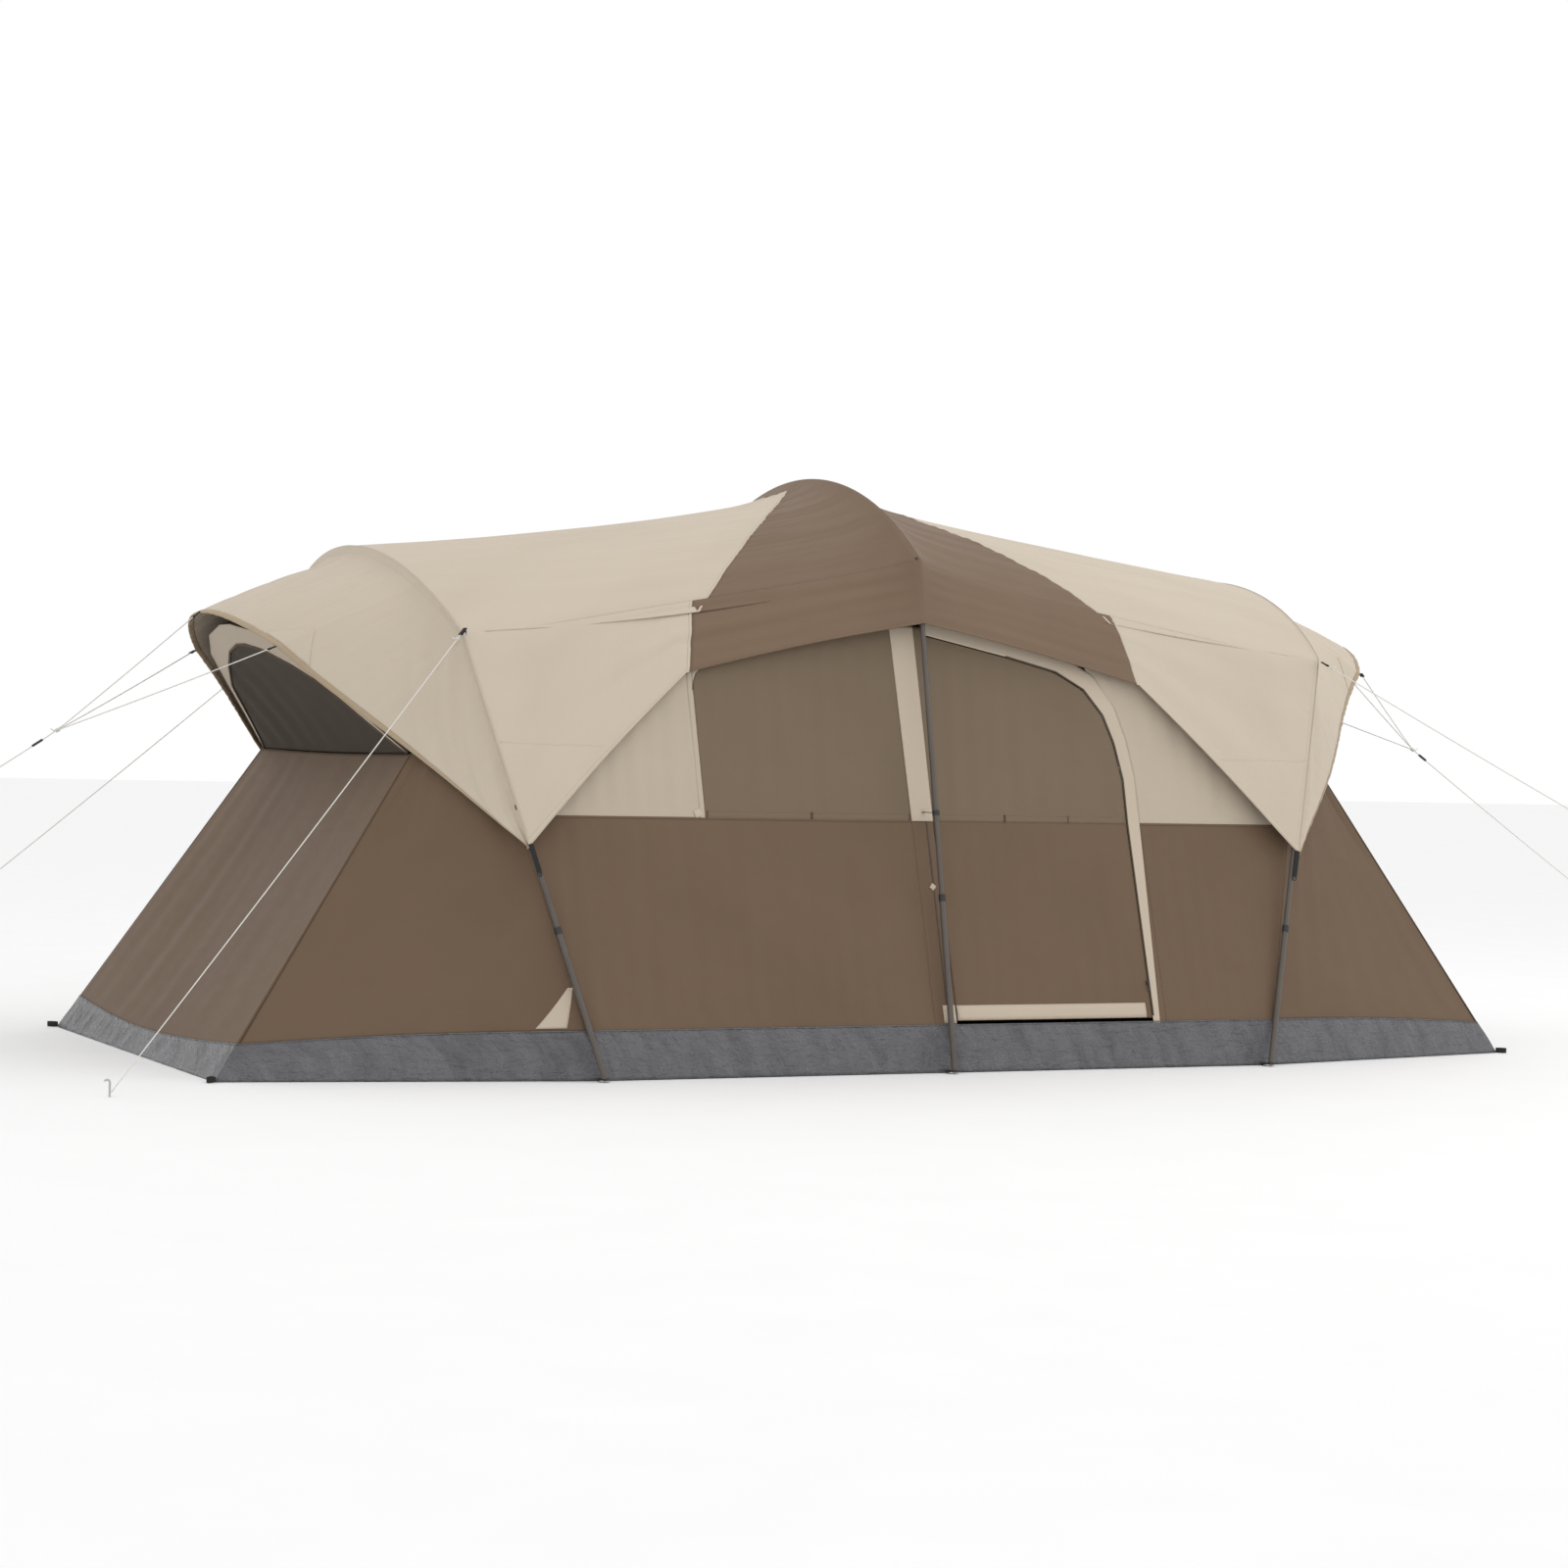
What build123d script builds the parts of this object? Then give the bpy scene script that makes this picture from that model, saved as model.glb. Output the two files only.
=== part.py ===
from build123d import *
from math import asin, cos, degrees, hypot, radians, sin, sqrt, tan
import os

os.makedirs("parts", exist_ok=True)

# A cabin tent on three hoops. X runs along the ridge, -Y is the side with the door, Z is up.
# The origin is on the ground under the middle of the tent.

# driving dimensions, millimetres
cloth = 3.0  # thickness of every fabric solid

corner_x, corner_y = 2590.0, 1045.0  # floor corners
tub_foot_y = 1285.0  # floor edge between the side hoops
tub_top_front, tub_top_end = 170.0, 120.0  # top of the waterproof floor band

hoop_x = 1330.0  # side hoops' feet from the middle
hoop_tilt = 15.1  # side hoops lean outwards, degrees
foot_y = 1335.0  # legs' feet from the middle
elbow_y = 962.0  # elbows from the middle
elbow_z_centre, elbow_z_side = 1820.0, 1495.0
roof_rise = 330.0  # rise of each roof pole above its elbows

leg_r, leg_wall = 11.0, 1.0  # lower leg tube
upper_leg_r = 9.8  # upper leg tube, telescoped into the lower
roof_pole_r, roof_pole_bore_r = 6.35, 4.25
shock_cord_r = 3.0

wall_foot_y, wall_seam_y, wall_top_y = 1277.0, 1060.0, 940.0
seam_z, wall_top_z = 880.0, 1590.0

fly_gap = 15.0  # inside of the fly from the centre line of the poles
fly_over = 14.0  # the fly runs this far past the side hoops' plane, round the elbows
tip_z = 779.0  # lowest corners of the fly
hem_mid_z, hem_corner_x, hem_corner_z = 1590.0, 920.0, 1400.0

ridge_x, ridge_y, ridge_z = 1868.0, 836.0, 1080.0  # top corners of the sloping end walls
hood_apex = {"left": (2370.0, 1562.0), "right": (2430.0, 1618.0)}  # the right hood is pulled out further
hood_tie_drop = 0.84  # the ties are this share of the way from the tips up to the apex
hood_tie_y = 490.0
window_slope = 0.93  # the end windows lean outwards under the hoods
window_top_z = 1505.0

door_left, door_right = 38.0, 850.0
door_sill_z = 182.0
door_gap = 2.0
door_rod_r = 4.0

cord_r = 2.0


# small helpers
def vec(*p):
    return Vector(*p)


def wall_y(z):
    """Distance of the front and back walls from the middle at a height: steep above the seam."""
    if z <= seam_z:
        return wall_foot_y + (wall_seam_y - wall_foot_y) * (z - tub_top_front) / (seam_z - tub_top_front)
    return wall_seam_y + (wall_top_y - wall_seam_y) * (z - seam_z) / (wall_top_z - seam_z)


def hoop_edge(z):
    """X of the side hoops' plane at a height."""
    return hoop_x + z * tan(radians(hoop_tilt))


def sheet(points, triangles, thick=cloth):
    """One closed solid: a sheet of triangles given thickness towards the inside of the tent."""
    middle = vec(0, 0, 700)
    outer = [vec(*p) for p in points]
    normals = [vec(0, 0, 0) for _ in outer]
    facing = []
    for a, b, c in triangles:
        n = (outer[b] - outer[a]).cross(outer[c] - outer[a]).normalized()
        if n.dot(outer[a] - middle) < 0:
            b, c, n = c, b, n * -1
        facing.append((a, b, c))
        for i in (a, b, c):
            normals[i] = normals[i] + n
    inner = [p - n.normalized() * thick for p, n in zip(outer, normals)]
    edges = [(t[i], t[(i + 1) % 3]) for t in facing for i in range(3)]
    rim = [(a, b) for a, b in edges if (b, a) not in edges]
    faces = [[outer[a], outer[b], outer[c]] for a, b, c in facing]
    faces += [[inner[a], inner[c], inner[b]] for a, b, c in facing]
    for a, b in rim:
        faces += [[outer[b], outer[a], inner[a]], [outer[b], inner[a], inner[b]]]
    return Solid(Shell([Face(Wire.make_polygon(f, close=True)) for f in faces]))


def panel(outline, trim=0.6, thick=cloth):
    """A flat cloth panel. The outline is its outer face; the thickness goes inwards."""
    a, b, c = (vec(*p) for p in outline[:3])
    normal = (b - a).cross(c - a).normalized()
    if normal.dot(a - vec(0, 0, 700)) < 0:
        normal = normal * -1
    plane = Plane(origin=a, x_dir=b - a, z_dir=normal)
    flat = [plane.to_local_coords(vec(*p)) for p in outline]
    with BuildPart() as flat_panel:
        with BuildSketch(plane):
            with BuildLine():
                Polyline(*[(p.X, p.Y) for p in flat], close=True)
            make_face()
            offset(amount=-trim, kind=Kind.INTERSECTION, mode=Mode.REPLACE)
        extrude(amount=-thick)
    return flat_panel.part


def tube(start, end, outer, inner=0.0):
    """A straight round tube or rod between two points."""
    start, end = vec(*start), vec(*end)
    with BuildPart() as rod:
        with BuildSketch(Plane(origin=start, z_dir=end - start)):
            Circle(outer)
            if inner:
                Circle(inner, mode=Mode.SUBTRACT)
        extrude(amount=(end - start).length)
    return rod.part


def save(name, *pieces):
    """Write one node. Several pieces stay separate solids of the same node."""
    with BuildPart() as node:
        add(list(pieces))
    node.part.label = name
    export_step(node.part, "parts/" + name + ".step")
    return node.part


def four(points):
    """The same outline at the front left, front right, back left and back right."""
    return [[(sx * x, sy * y, z) for x, y, z in points] for sx in (-1, 1) for sy in (-1, 1)]


# the three hoops
class Hoop:
    """One hoop: two straight legs, two elbows and one bent roof pole, all in one plane."""

    def __init__(self, side, tilt, elbow_z):
        self.side, self.tilt = side, radians(tilt)
        self.elbow_s = elbow_z / cos(self.tilt)
        self.rise = roof_rise
        self.arc_r = (elbow_y**2 + self.rise**2) / (2 * self.rise)
        self.arc_s = self.elbow_s + self.rise - self.arc_r  # centre of the roof arc
        self.lean = (foot_y - elbow_y) / self.elbow_s
        self.half = asin(elbow_y / self.arc_r)

    def at(self, y, s):
        """A point from its y and its distance s up the hoop's plane."""
        x0 = hoop_x * self.side
        return vec(x0 + self.side * s * sin(self.tilt), y, s * cos(self.tilt))

    def leg(self, end, s):
        return self.at(end * (foot_y - self.lean * s), s)

    def on_arc(self, angle, grow=0.0):
        """A point on the roof arc, by its angle from the crest towards +Y."""
        r = self.arc_r + grow
        return self.at(r * sin(angle), self.arc_s + r * cos(angle))

    def plane(self):
        up = self.at(0, 1) - self.at(0, 0)
        return Plane(origin=self.at(0, 0), x_dir=(0, 1, 0), z_dir=vec(0, 1, 0).cross(up))

    def roof(self, outer, inner, first, last, sides=0):
        """A ring section, or one with flat sides, carried round the roof arc between two angles."""
        centre = self.at(0, self.arc_s)
        start = self.on_arc(first)
        along = self.on_arc(first + 0.001) - start
        normal = vec(0, 1, 0).cross(self.at(0, 1) - self.at(0, 0))
        with BuildPart() as bent:
            with BuildSketch(Plane(origin=start, x_dir=normal, z_dir=along)):
                if sides:
                    RegularPolygon(outer, sides)
                else:
                    Circle(outer)
                if inner:
                    Circle(inner, mode=Mode.SUBTRACT)
            revolve(axis=Axis(centre, normal * -1), revolution_arc=degrees(last - first))
        return bent.part

    def shoulder(self, grow):
        """Where the fly, held off the legs and the roof pole by grow, turns from leg to roof."""
        k = self.lean
        a = foot_y + grow * sqrt(1 + k * k)
        r = self.arc_r + grow
        qa, qb = 1 + k * k, -2 * (a * k + self.arc_s)
        qc = a * a + self.arc_s**2 - r * r
        s = (-qb + sqrt(qb * qb - 4 * qa * qc)) / (2 * qa)
        return a - k * s, s

    def fly_edge(self, grow, hem_s):
        """Corner points of the fly's section: hem, shoulder and crest."""
        k = self.lean
        hem = (foot_y + grow * sqrt(1 + k * k) - k * hem_s, hem_s)
        return hem, self.shoulder(grow), (0, self.arc_s + self.arc_r + grow)


left_hoop = Hoop(-1, hoop_tilt, elbow_z_side)
centre_hoop = Hoop(0, 0, elbow_z_centre)
right_hoop = Hoop(1, hoop_tilt, elbow_z_side)
hoops = {"left": left_hoop, "centre": centre_hoop, "right": right_hoop}

ends = {"front": -1, "back": 1}
elbow_reach = 22.0  # tubes stop this far short of the elbow's middle
leg_foot_s = 14.0  # the lower tube starts this far up, on its foot cap
joint_s = {"left": 530.0, "centre": 625.0, "right": 530.0}  # top of each lower tube
upper_legs, collars, elbows, ferrules, cords_inside, caps, pins, straps_foot = ([] for _ in range(8))

for side, hoop in hoops.items():
    start = hoop.half - elbow_reach / hoop.arc_r
    pole = hoop.roof(roof_pole_r, roof_pole_bore_r, -start, start)
    save("roof_pole_" + side, pole)
    cords_inside.append(hoop.roof(shock_cord_r, 0, -start + 0.004, start - 0.004, sides=8))
    for place in (-0.5, 0.0, 0.5):  # three joints between four roof pole sections
        ferrules.append(hoop.roof(roof_pole_r + 1.4, roof_pole_r, place * start - 0.03, place * start + 0.03))
    for end_name, end in ends.items():
        foot = hoop.leg(end, leg_foot_s)
        joint = hoop.leg(end, joint_s[side])
        save("leg_" + end_name + "_" + side, tube(foot, joint, leg_r, leg_r - leg_wall))
        low = hoop.leg(end, joint_s[side] - 70)
        top = hoop.leg(end, hoop.elbow_s - elbow_reach)
        upper_legs.append(tube(low, top, upper_leg_r, upper_leg_r - leg_wall))
        collar_low, collar_top = hoop.leg(end, joint_s[side] - 24), hoop.leg(end, joint_s[side])
        collars.append(tube(collar_low, collar_top, leg_r + 1.6, leg_r))

        # elbow: one socket on the leg, one on the roof pole, joined by a ball
        middle = hoop.leg(end, hoop.elbow_s)
        leg_end = hoop.leg(end, hoop.elbow_s - 75)
        pole_end = hoop.on_arc(end * (hoop.half - 78 / hoop.arc_r))
        socket_leg = tube(middle, leg_end, upper_leg_r + 2.4)
        socket_pole = tube(middle, pole_end, roof_pole_r + 3.4)
        leg_bore = tube(top, leg_end + (leg_end - middle), upper_leg_r)
        bore_start = end * (hoop.half - (elbow_reach - 0.5) / hoop.arc_r)
        bore_end = end * (hoop.half - 100 / hoop.arc_r)
        pole_bore = hoop.roof(roof_pole_r + 0.05, 0, min(bore_start, bore_end), max(bore_start, bore_end))
        with BuildPart() as elbow:
            add(socket_leg)
            add(socket_pole)
            with Locations(middle):
                Sphere(upper_leg_r + 2.8)
            add(leg_bore, mode=Mode.SUBTRACT)
            add(pole_bore, mode=Mode.SUBTRACT)
        elbows.append(elbow.part)

        # foot: a plastic cap in the tube, a pin welded to a flat ring, and a webbing loop
        ring_z, wire, ring_r = 5.0, 2.5, 17.0
        base = hoop.leg(end, 0)
        with BuildPart() as cap:
            with BuildSketch(Plane(origin=hoop.leg(end, -20), z_dir=foot - base)):
                Circle(leg_r + 1.5)
            extrude(amount=20 + leg_foot_s)
            with BuildSketch(Plane(origin=foot, z_dir=foot - base)):
                Circle(leg_r - leg_wall)
            extrude(amount=22)
            split(bisect_by=Plane.XY.offset(ring_z + wire), keep=Keep.TOP)
            add(tube(hoop.leg(end, -30), hoop.leg(end, 34), 3.2), mode=Mode.SUBTRACT)
        caps.append(cap.part)
        ring_middle = vec(base.X, base.Y - end * (ring_r - 3), ring_z)
        with BuildPart() as pin:
            with Locations(ring_middle):
                Torus(ring_r, wire)
            add(tube(hoop.leg(end, ring_z), hoop.leg(end, 30), 3.0))
        pins.append(pin.part)
        loop_y = abs(ring_middle.Y) - ring_r  # inner side of the ring
        with BuildPart() as loop:
            loop_corner = (base.X - end * 12, end * loop_y, 0)
            loop_plane = Plane(origin=loop_corner, x_dir=(0, end, 0), z_dir=(end, 0, 0))
            with BuildSketch(loop_plane):
                with Locations((-3.25, ring_z)):
                    Rectangle(27.5, 9.6)
                with Locations((2.9, ring_z)):
                    Rectangle(12.2, 6.4, mode=Mode.SUBTRACT)
            extrude(amount=24)
        straps_foot.append(loop.part)

save("leg_upper_tubes", *upper_legs)
save("leg_joint_collars", *collars)
save("elbow_connectors", *elbows)
save("roof_pole_ferrules", *ferrules)
save("shock_cords", *cords_inside)
save("foot_caps", *caps)
save("foot_ring_pins", *pins)
save("foot_webbing", *straps_foot)


# floor and tub
def ridge_at(z):
    """A point on the sloping corner seam, from the floor's corner to the end wall's top corner."""
    t = z / ridge_z
    return corner_x + (ridge_x - corner_x) * t, corner_y + (ridge_y - corner_y) * t, z


tub_seam = ridge_at(tub_top_end)
foot_top = (hoop_edge(tub_top_front), wall_foot_y, tub_top_front)
floor_outline = [(corner_x, corner_y), (hoop_x, tub_foot_y), (-hoop_x, tub_foot_y), (-corner_x, corner_y)]
floor_outline += [(-x, -y) for x, y in floor_outline]
with BuildPart() as floor_panel:
    with BuildSketch(Plane.XY):
        with BuildLine():
            Polyline(*floor_outline, close=True)
        make_face()
        offset(amount=-8, kind=Kind.INTERSECTION, mode=Mode.REPLACE)
    extrude(amount=2.5)
save("floor_panel", floor_panel.part)

tub_sides = []
for sy in (-1, 1):
    foot, top = (hoop_x, sy * tub_foot_y, 0), (foot_top[0], sy * wall_foot_y, tub_top_front)
    tub_sides.append(panel([(-foot[0], *foot[1:]), foot, top, (-top[0], *top[1:])], trim=1.0))
for sx in (-1, 1):
    outline = [(sx * corner_x, sy * corner_y, 0) for sy in (-1, 1)]
    outline += [(sx * tub_seam[0], sy * tub_seam[1], tub_seam[2]) for sy in (1, -1)]
    tub_sides.append(panel(outline, trim=2.0))
    for sy in (-1, 1):
        bend = [(corner_x - 4, corner_y + 0.8, 0), (hoop_x + 4, tub_foot_y - 0.8, 0)]
        bend.append((foot_top[0] + 4, foot_top[1] - 0.8, foot_top[2]))
        bend.append((tub_seam[0] - 4, tub_seam[1] + 0.8, tub_seam[2]))
        tub_sides.append(sheet([(sx * x, sy * y, z) for x, y, z in bend], [(0, 1, 2), (0, 2, 3)]))
save("tub_wall", *tub_sides)


# inner tent
def wall(outline, side=-1):
    """A flat panel of the front (-1) or back (1) wall, from its x and z corners."""
    return panel([(x, side * wall_y(z), z) for x, z in outline])


roof_ridge_z, roof_drop = 2050.0, 300.0  # ceiling's ridge in the middle, and its fall to each side hoop
eave_mid_z = 1597.0
side_crest_x = 1800.0
fall_x = roof_drop / side_crest_x
fall_y = (roof_ridge_z - eave_mid_z) / wall_y(eave_mid_z)
wall_slope = (wall_seam_y - wall_top_y) / (wall_top_z - seam_z)


def eave_z(x):
    """Height at which the ceiling meets the upper wall."""
    reach = wall_seam_y + wall_slope * seam_z
    return (roof_ridge_z - fall_x * abs(x) - fall_y * reach) / (1 - fall_y * wall_slope)


seam = 1.0  # half of the gap between the lower and the upper wall's solids
low, high = tub_top_front + seam, seam_z - seam
up = seam_z + seam
eave_x = hoop_edge(eave_z(1683.0)) - 5
wall_end = (eave_x, eave_z(eave_x))
flap_foot, flap_top = -50.0, -98.0  # left edge of the cream strip beside the centre leg
window_x, window_corner_z = -888.0, 1340.0
flap_x = 907.0  # outer edge of the strip that covers the door's zip

left_low = [(-hoop_edge(low), low), (flap_foot, low), (flap_foot, high), (-hoop_edge(high), high)]
right_low = [(flap_x, low), (hoop_edge(low), low), (hoop_edge(high), high), (flap_x, high)]
save("front_wall_lower_left", wall(left_low))
save("front_wall_lower_right", wall(right_low))
window_outline = [(-862, up), (flap_foot, up), (flap_top, eave_z(98)), (window_x, eave_z(window_x))]
window_outline += [(window_x, window_corner_z)]
save("front_window", wall(window_outline))
left_up = [(-hoop_edge(up), up), (-862, up), (window_x, window_corner_z), (window_x, eave_z(window_x))]
left_up += [(-wall_end[0], wall_end[1])]
save("front_wall_upper_left", wall(left_up))

# the door's curved top, from the free edge to the hinge
door_top = [(842, 1040), (812, 1175), (772, 1276), (696, 1368), (581, 1430), (371, 1480), (door_left, 1548)]
arch = [(x + 52 * nx, z + 52 * nz) for (x, z), (nx, nz) in zip(
    door_top[:-1], [(1, 0.1), (0.96, 0.28), (0.86, 0.5), (0.6, 0.8), (0.3, 0.9), (0.2, 0.6)])]
strip = [wall([(door_right + door_gap, low), (flap_x, low), (flap_x, high), (door_right + door_gap, high)])]
inner = [(door_right + door_gap, up)] + [(x + 2, z + 2) for x, z in door_top[:-2]]
outer = [(flap_x, up)] + arch[:-1]
for i in range(len(inner) - 1):
    strip.append(wall([inner[i], outer[i], outer[i + 1], inner[i + 1]]))
right_up = [(flap_x, up), (hoop_edge(up), up), wall_end, (830, eave_z(830))]
right_up += [(arch[3][0] + 30, arch[3][1] + 10), arch[2], arch[1], arch[0]]
save("front_wall_upper_right", wall(right_up))
hinge_strip_x = door_left - door_gap
cream = [wall([(flap_foot, low), (hinge_strip_x, low), (hinge_strip_x, high), (flap_foot, high)])]
cream.append(wall([(flap_foot, up), (hinge_strip_x, up), (hinge_strip_x, 1572), (flap_top, 1572)]))
save("door_flaps", *strip, *cream)

save("back_wall_lower", wall([(-hoop_edge(low), low), (hoop_edge(low), low), (hoop_edge(high), high),
                              (-hoop_edge(high), high)], 1))
back_edges, back_windows = [], []
for sx in (-1, 1):
    back_edges.append(wall([(sx * hoop_edge(up), up), (sx * 862, up), (sx * 888, window_corner_z),
                            (sx * 888, eave_z(888)), (sx * wall_end[0], wall_end[1])], 1))
    back_windows.append(wall([(sx * 862, up), (sx * 50, up), (sx * 50, eave_z(50)), (sx * 888, eave_z(888)),
                              (sx * 888, window_corner_z)], 1))
back_edges.append(wall([(-50, up), (50, up), (50, eave_z(50)), (-50, eave_z(50))], 1))
save("back_wall_upper", *back_edges)
save("back_windows", *back_windows)

# corner panels between the side hoops and the sloping corner seams
seam_point = (hoop_edge(seam_z), wall_seam_y, seam_z)
eave_point = (wall_end[0] + 6, wall_y(wall_end[1]), wall_end[1])
foot_seam = (foot_top[0] + 2, foot_top[1], foot_top[2] + 2)
corner = [(tub_seam[0] - 6, tub_seam[1] + 0.5, tub_seam[2] + 2), foot_seam, seam_point, eave_point]
corner += [(ridge_x - 6, ridge_y + 0.5, ridge_z)]
for i in (1, 2, 3):  # clear of the front and back walls
    corner[i] = (corner[i][0] + 3, corner[i][1] - 0.8, corner[i][2])
corners = [sheet(c, [(0, 1, 2), (0, 2, 4), (2, 3, 4)]) for c in four(corner)]
save("corner_panels", *corners)


def on_window(y, z):
    """A point just above the end window's edge, where the net meets it."""
    return (ridge_x + window_slope * (z - ridge_z) - 6, y, z + 4)


crest = (side_crest_x, 0, roof_ridge_z - roof_drop)
window_sides = [(ridge_y - 4, ridge_z + 3), (700.0, 1205.0), (590.0, 1310.0), (450.0, 1415.0)]
window_length = hypot(1, window_slope)  # length up the window for each unit of height
ceiling = []
for sx, side in ((-1, "left"), (1, "right")):
    low_edge = [(sx * (tub_seam[0] - 1.5), sy * tub_seam[1], tub_seam[2] + 2) for sy in (-1, 1)]
    top_edge = [(sx * ridge_x, sy * ridge_y, ridge_z - 1) for sy in (1, -1)]
    save("end_wall_" + side, panel(low_edge + top_edge, trim=2.0))
    base = vec(sx * ridge_x, 0, ridge_z)
    up_window = vec(sx * window_slope, 0, 1)
    with BuildPart() as window:
        with BuildSketch(Plane(origin=base, x_dir=(0, 1, 0), z_dir=vec(0, 1, 0).cross(up_window))):
            right_side = [(y, (z - ridge_z) * window_length) for y, z in window_sides]
            left_side = [(-y, w) for y, w in reversed(right_side)]
            with BuildLine():
                Polyline(*right_side)
                ThreePointArc(right_side[-1], (0, (window_top_z - ridge_z) * window_length), left_side[0])
                Polyline(*left_side)
                Line(left_side[-1], right_side[0])
            make_face()
        extrude(amount=cloth / 2, both=True)
    save("end_window_" + side, window.part)

    # net between the side hoop's ceiling and the window's arched top
    arch_top = [on_window(y, z) for y, z in window_sides[1:]] + [on_window(0, window_top_z)]
    for sy in (-1, 1):
        eave = (eave_point[0] + 12, eave_point[1] - 6, eave_point[2] + 2)
        middle = (crest[0] + 6, 2.0, crest[2])
        low = (ridge_x - 2, ridge_y - 2, ridge_z + 12)
        net = [low, eave, middle] + arch_top[:3] + [(arch_top[3][0], 2.0, arch_top[3][2])]
        net_triangles = [(0, 1, 3), (1, 4, 3), (1, 5, 4), (1, 2, 5), (2, 6, 5)]
        ceiling.append(sheet([(sx * x, sy * y, z) for x, y, z in net], net_triangles))

for sx in (-1, 1):
    for sy in (-1, 1):
        eave_mid = (sx * 1.0, sy * (wall_y(eave_mid_z) - 5), roof_ridge_z - fall_y * (wall_y(eave_mid_z) - 5))
        far_y = wall_y(wall_end[1]) - 5
        far = (sx * (wall_end[0] - 4), sy * far_y, roof_ridge_z - fall_x * (wall_end[0] - 4) - fall_y * far_y)
        peak = (sx * 1.0, sy * 1.0, roof_ridge_z - fall_y)
        end_peak = (sx * (crest[0] - 6), sy * 1.0, roof_ridge_z - fall_x * (crest[0] - 6) - fall_y)
        ceiling.append(panel([eave_mid, peak, end_peak, far], trim=2.0))
save("ceiling_net", *ceiling)

# door, hung on the strip beside the centre leg
door_low = [(door_left, door_sill_z), (door_right, door_sill_z), (door_right, high), (door_left, high)]
save("door_panel", wall(door_low))
save("door_window", wall([(door_left, up), (door_right, up)] + door_top))
rod_in = cloth + door_rod_r + 0.6  # the frame rod lies in a sleeve behind the door's cloth
rod_route = [(58, 200), (830, 200), (830, seam_z)]
rod_route += [(x - 18 if x > 500 else x, z - 20) for x, z in door_top[:-1]] + [(58, 1520), (58, seam_z)]
rod_points = [(x, -(wall_y(z) - rod_in), z) for x, z in rod_route]
with BuildPart() as door_rod:
    for a, b in zip(rod_points, rod_points[1:] + rod_points[:1]):
        add(tube(a, b, door_rod_r))
        with Locations(a):
            Sphere(door_rod_r)
save("door_frame_rod", door_rod.part)

slider_z = 300.0
lean_dir = vec(0, wall_foot_y - wall_seam_y, seam_z - tub_top_front).normalized()
slider_plane = Plane(origin=(door_right - 2, -wall_y(slider_z), slider_z), x_dir=(1, 0, 0), z_dir=lean_dir)
with BuildPart() as slider:
    with BuildSketch(slider_plane):
        with Locations((0, -4.0)):
            Rectangle(9, 7)
    extrude(amount=14)
    with BuildSketch(slider_plane.offset(-26)):
        with Locations((0, -6.4)):
            Rectangle(5, 1.6)
    extrude(amount=30)
save("door_zip_slider", slider.part)

# clips that hold the walls to the legs
clips = []
for side, hoop in hoops.items():
    for end in ends.values():
        s = 905.0 / cos(hoop.tilt)
        low_ring, high_ring = hoop.leg(end, s), hoop.leg(end, s + 16)
        with BuildPart() as clip:
            add(tube(low_ring, high_ring, upper_leg_r + 3.0))
            with BuildSketch(Plane(origin=(low_ring + high_ring) / 2, x_dir=(1, 0, 0), z_dir=(0, -end, 0))):
                Rectangle(12, 2.4)
            extrude(amount=abs(low_ring.Y) - wall_y(low_ring.Z) - 2)
            bore_low, bore_high = low_ring * 2 - high_ring, high_ring * 2 - low_ring
            add(tube(bore_low, bore_high, upper_leg_r + 0.1), mode=Mode.SUBTRACT)
        clips.append(clip.part)
save("wall_clips", *clips)

# rain fly
tip_s = tip_z / cos(radians(hoop_tilt))
tip_x = hoop_edge(tip_z) + fly_over


def fly_section(hoop, hem_s):
    """The fly's thin section in a hoop's plane: two straight drops joined over the roof arc."""
    hem_o, turn_o, top_o = hoop.fly_edge(fly_gap + cloth, hem_s)
    hem_i, turn_i, top_i = hoop.fly_edge(fly_gap, hem_s)
    with BuildSketch(hoop.plane().offset(hoop.side * fly_over), mode=Mode.PRIVATE) as section:
        with BuildLine():
            Line(hem_o, turn_o)
            ThreePointArc(turn_o, top_o, (-turn_o[0], turn_o[1]))
            Line((-turn_o[0], turn_o[1]), (-hem_o[0], hem_o[1]))
            Line((-hem_o[0], hem_o[1]), (-hem_i[0], hem_i[1]))
            Line((-hem_i[0], hem_i[1]), (-turn_i[0], turn_i[1]))
            ThreePointArc((-turn_i[0], turn_i[1]), top_i, turn_i)
            Line(turn_i, hem_i)
            Line(hem_i, hem_o)
        make_face()
    return section.sketch


with BuildPart() as above_hem:
    with BuildSketch(Plane.XZ):
        for sx in (-1, 1):
            with BuildLine():
                Line((0, hem_mid_z), (sx * hem_corner_x, hem_corner_z))
                below_tip = (sx * (tip_x + 4), tip_z - 4)
                ThreePointArc((sx * hem_corner_x, hem_corner_z), (sx * 1214, 1128), below_tip)
                Polyline(below_tip, (sx * 2600, 700), (sx * 2600, 2500), (0, 2500), (0, hem_mid_z))
            make_face()
    extrude(amount=1500, both=True)

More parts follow.
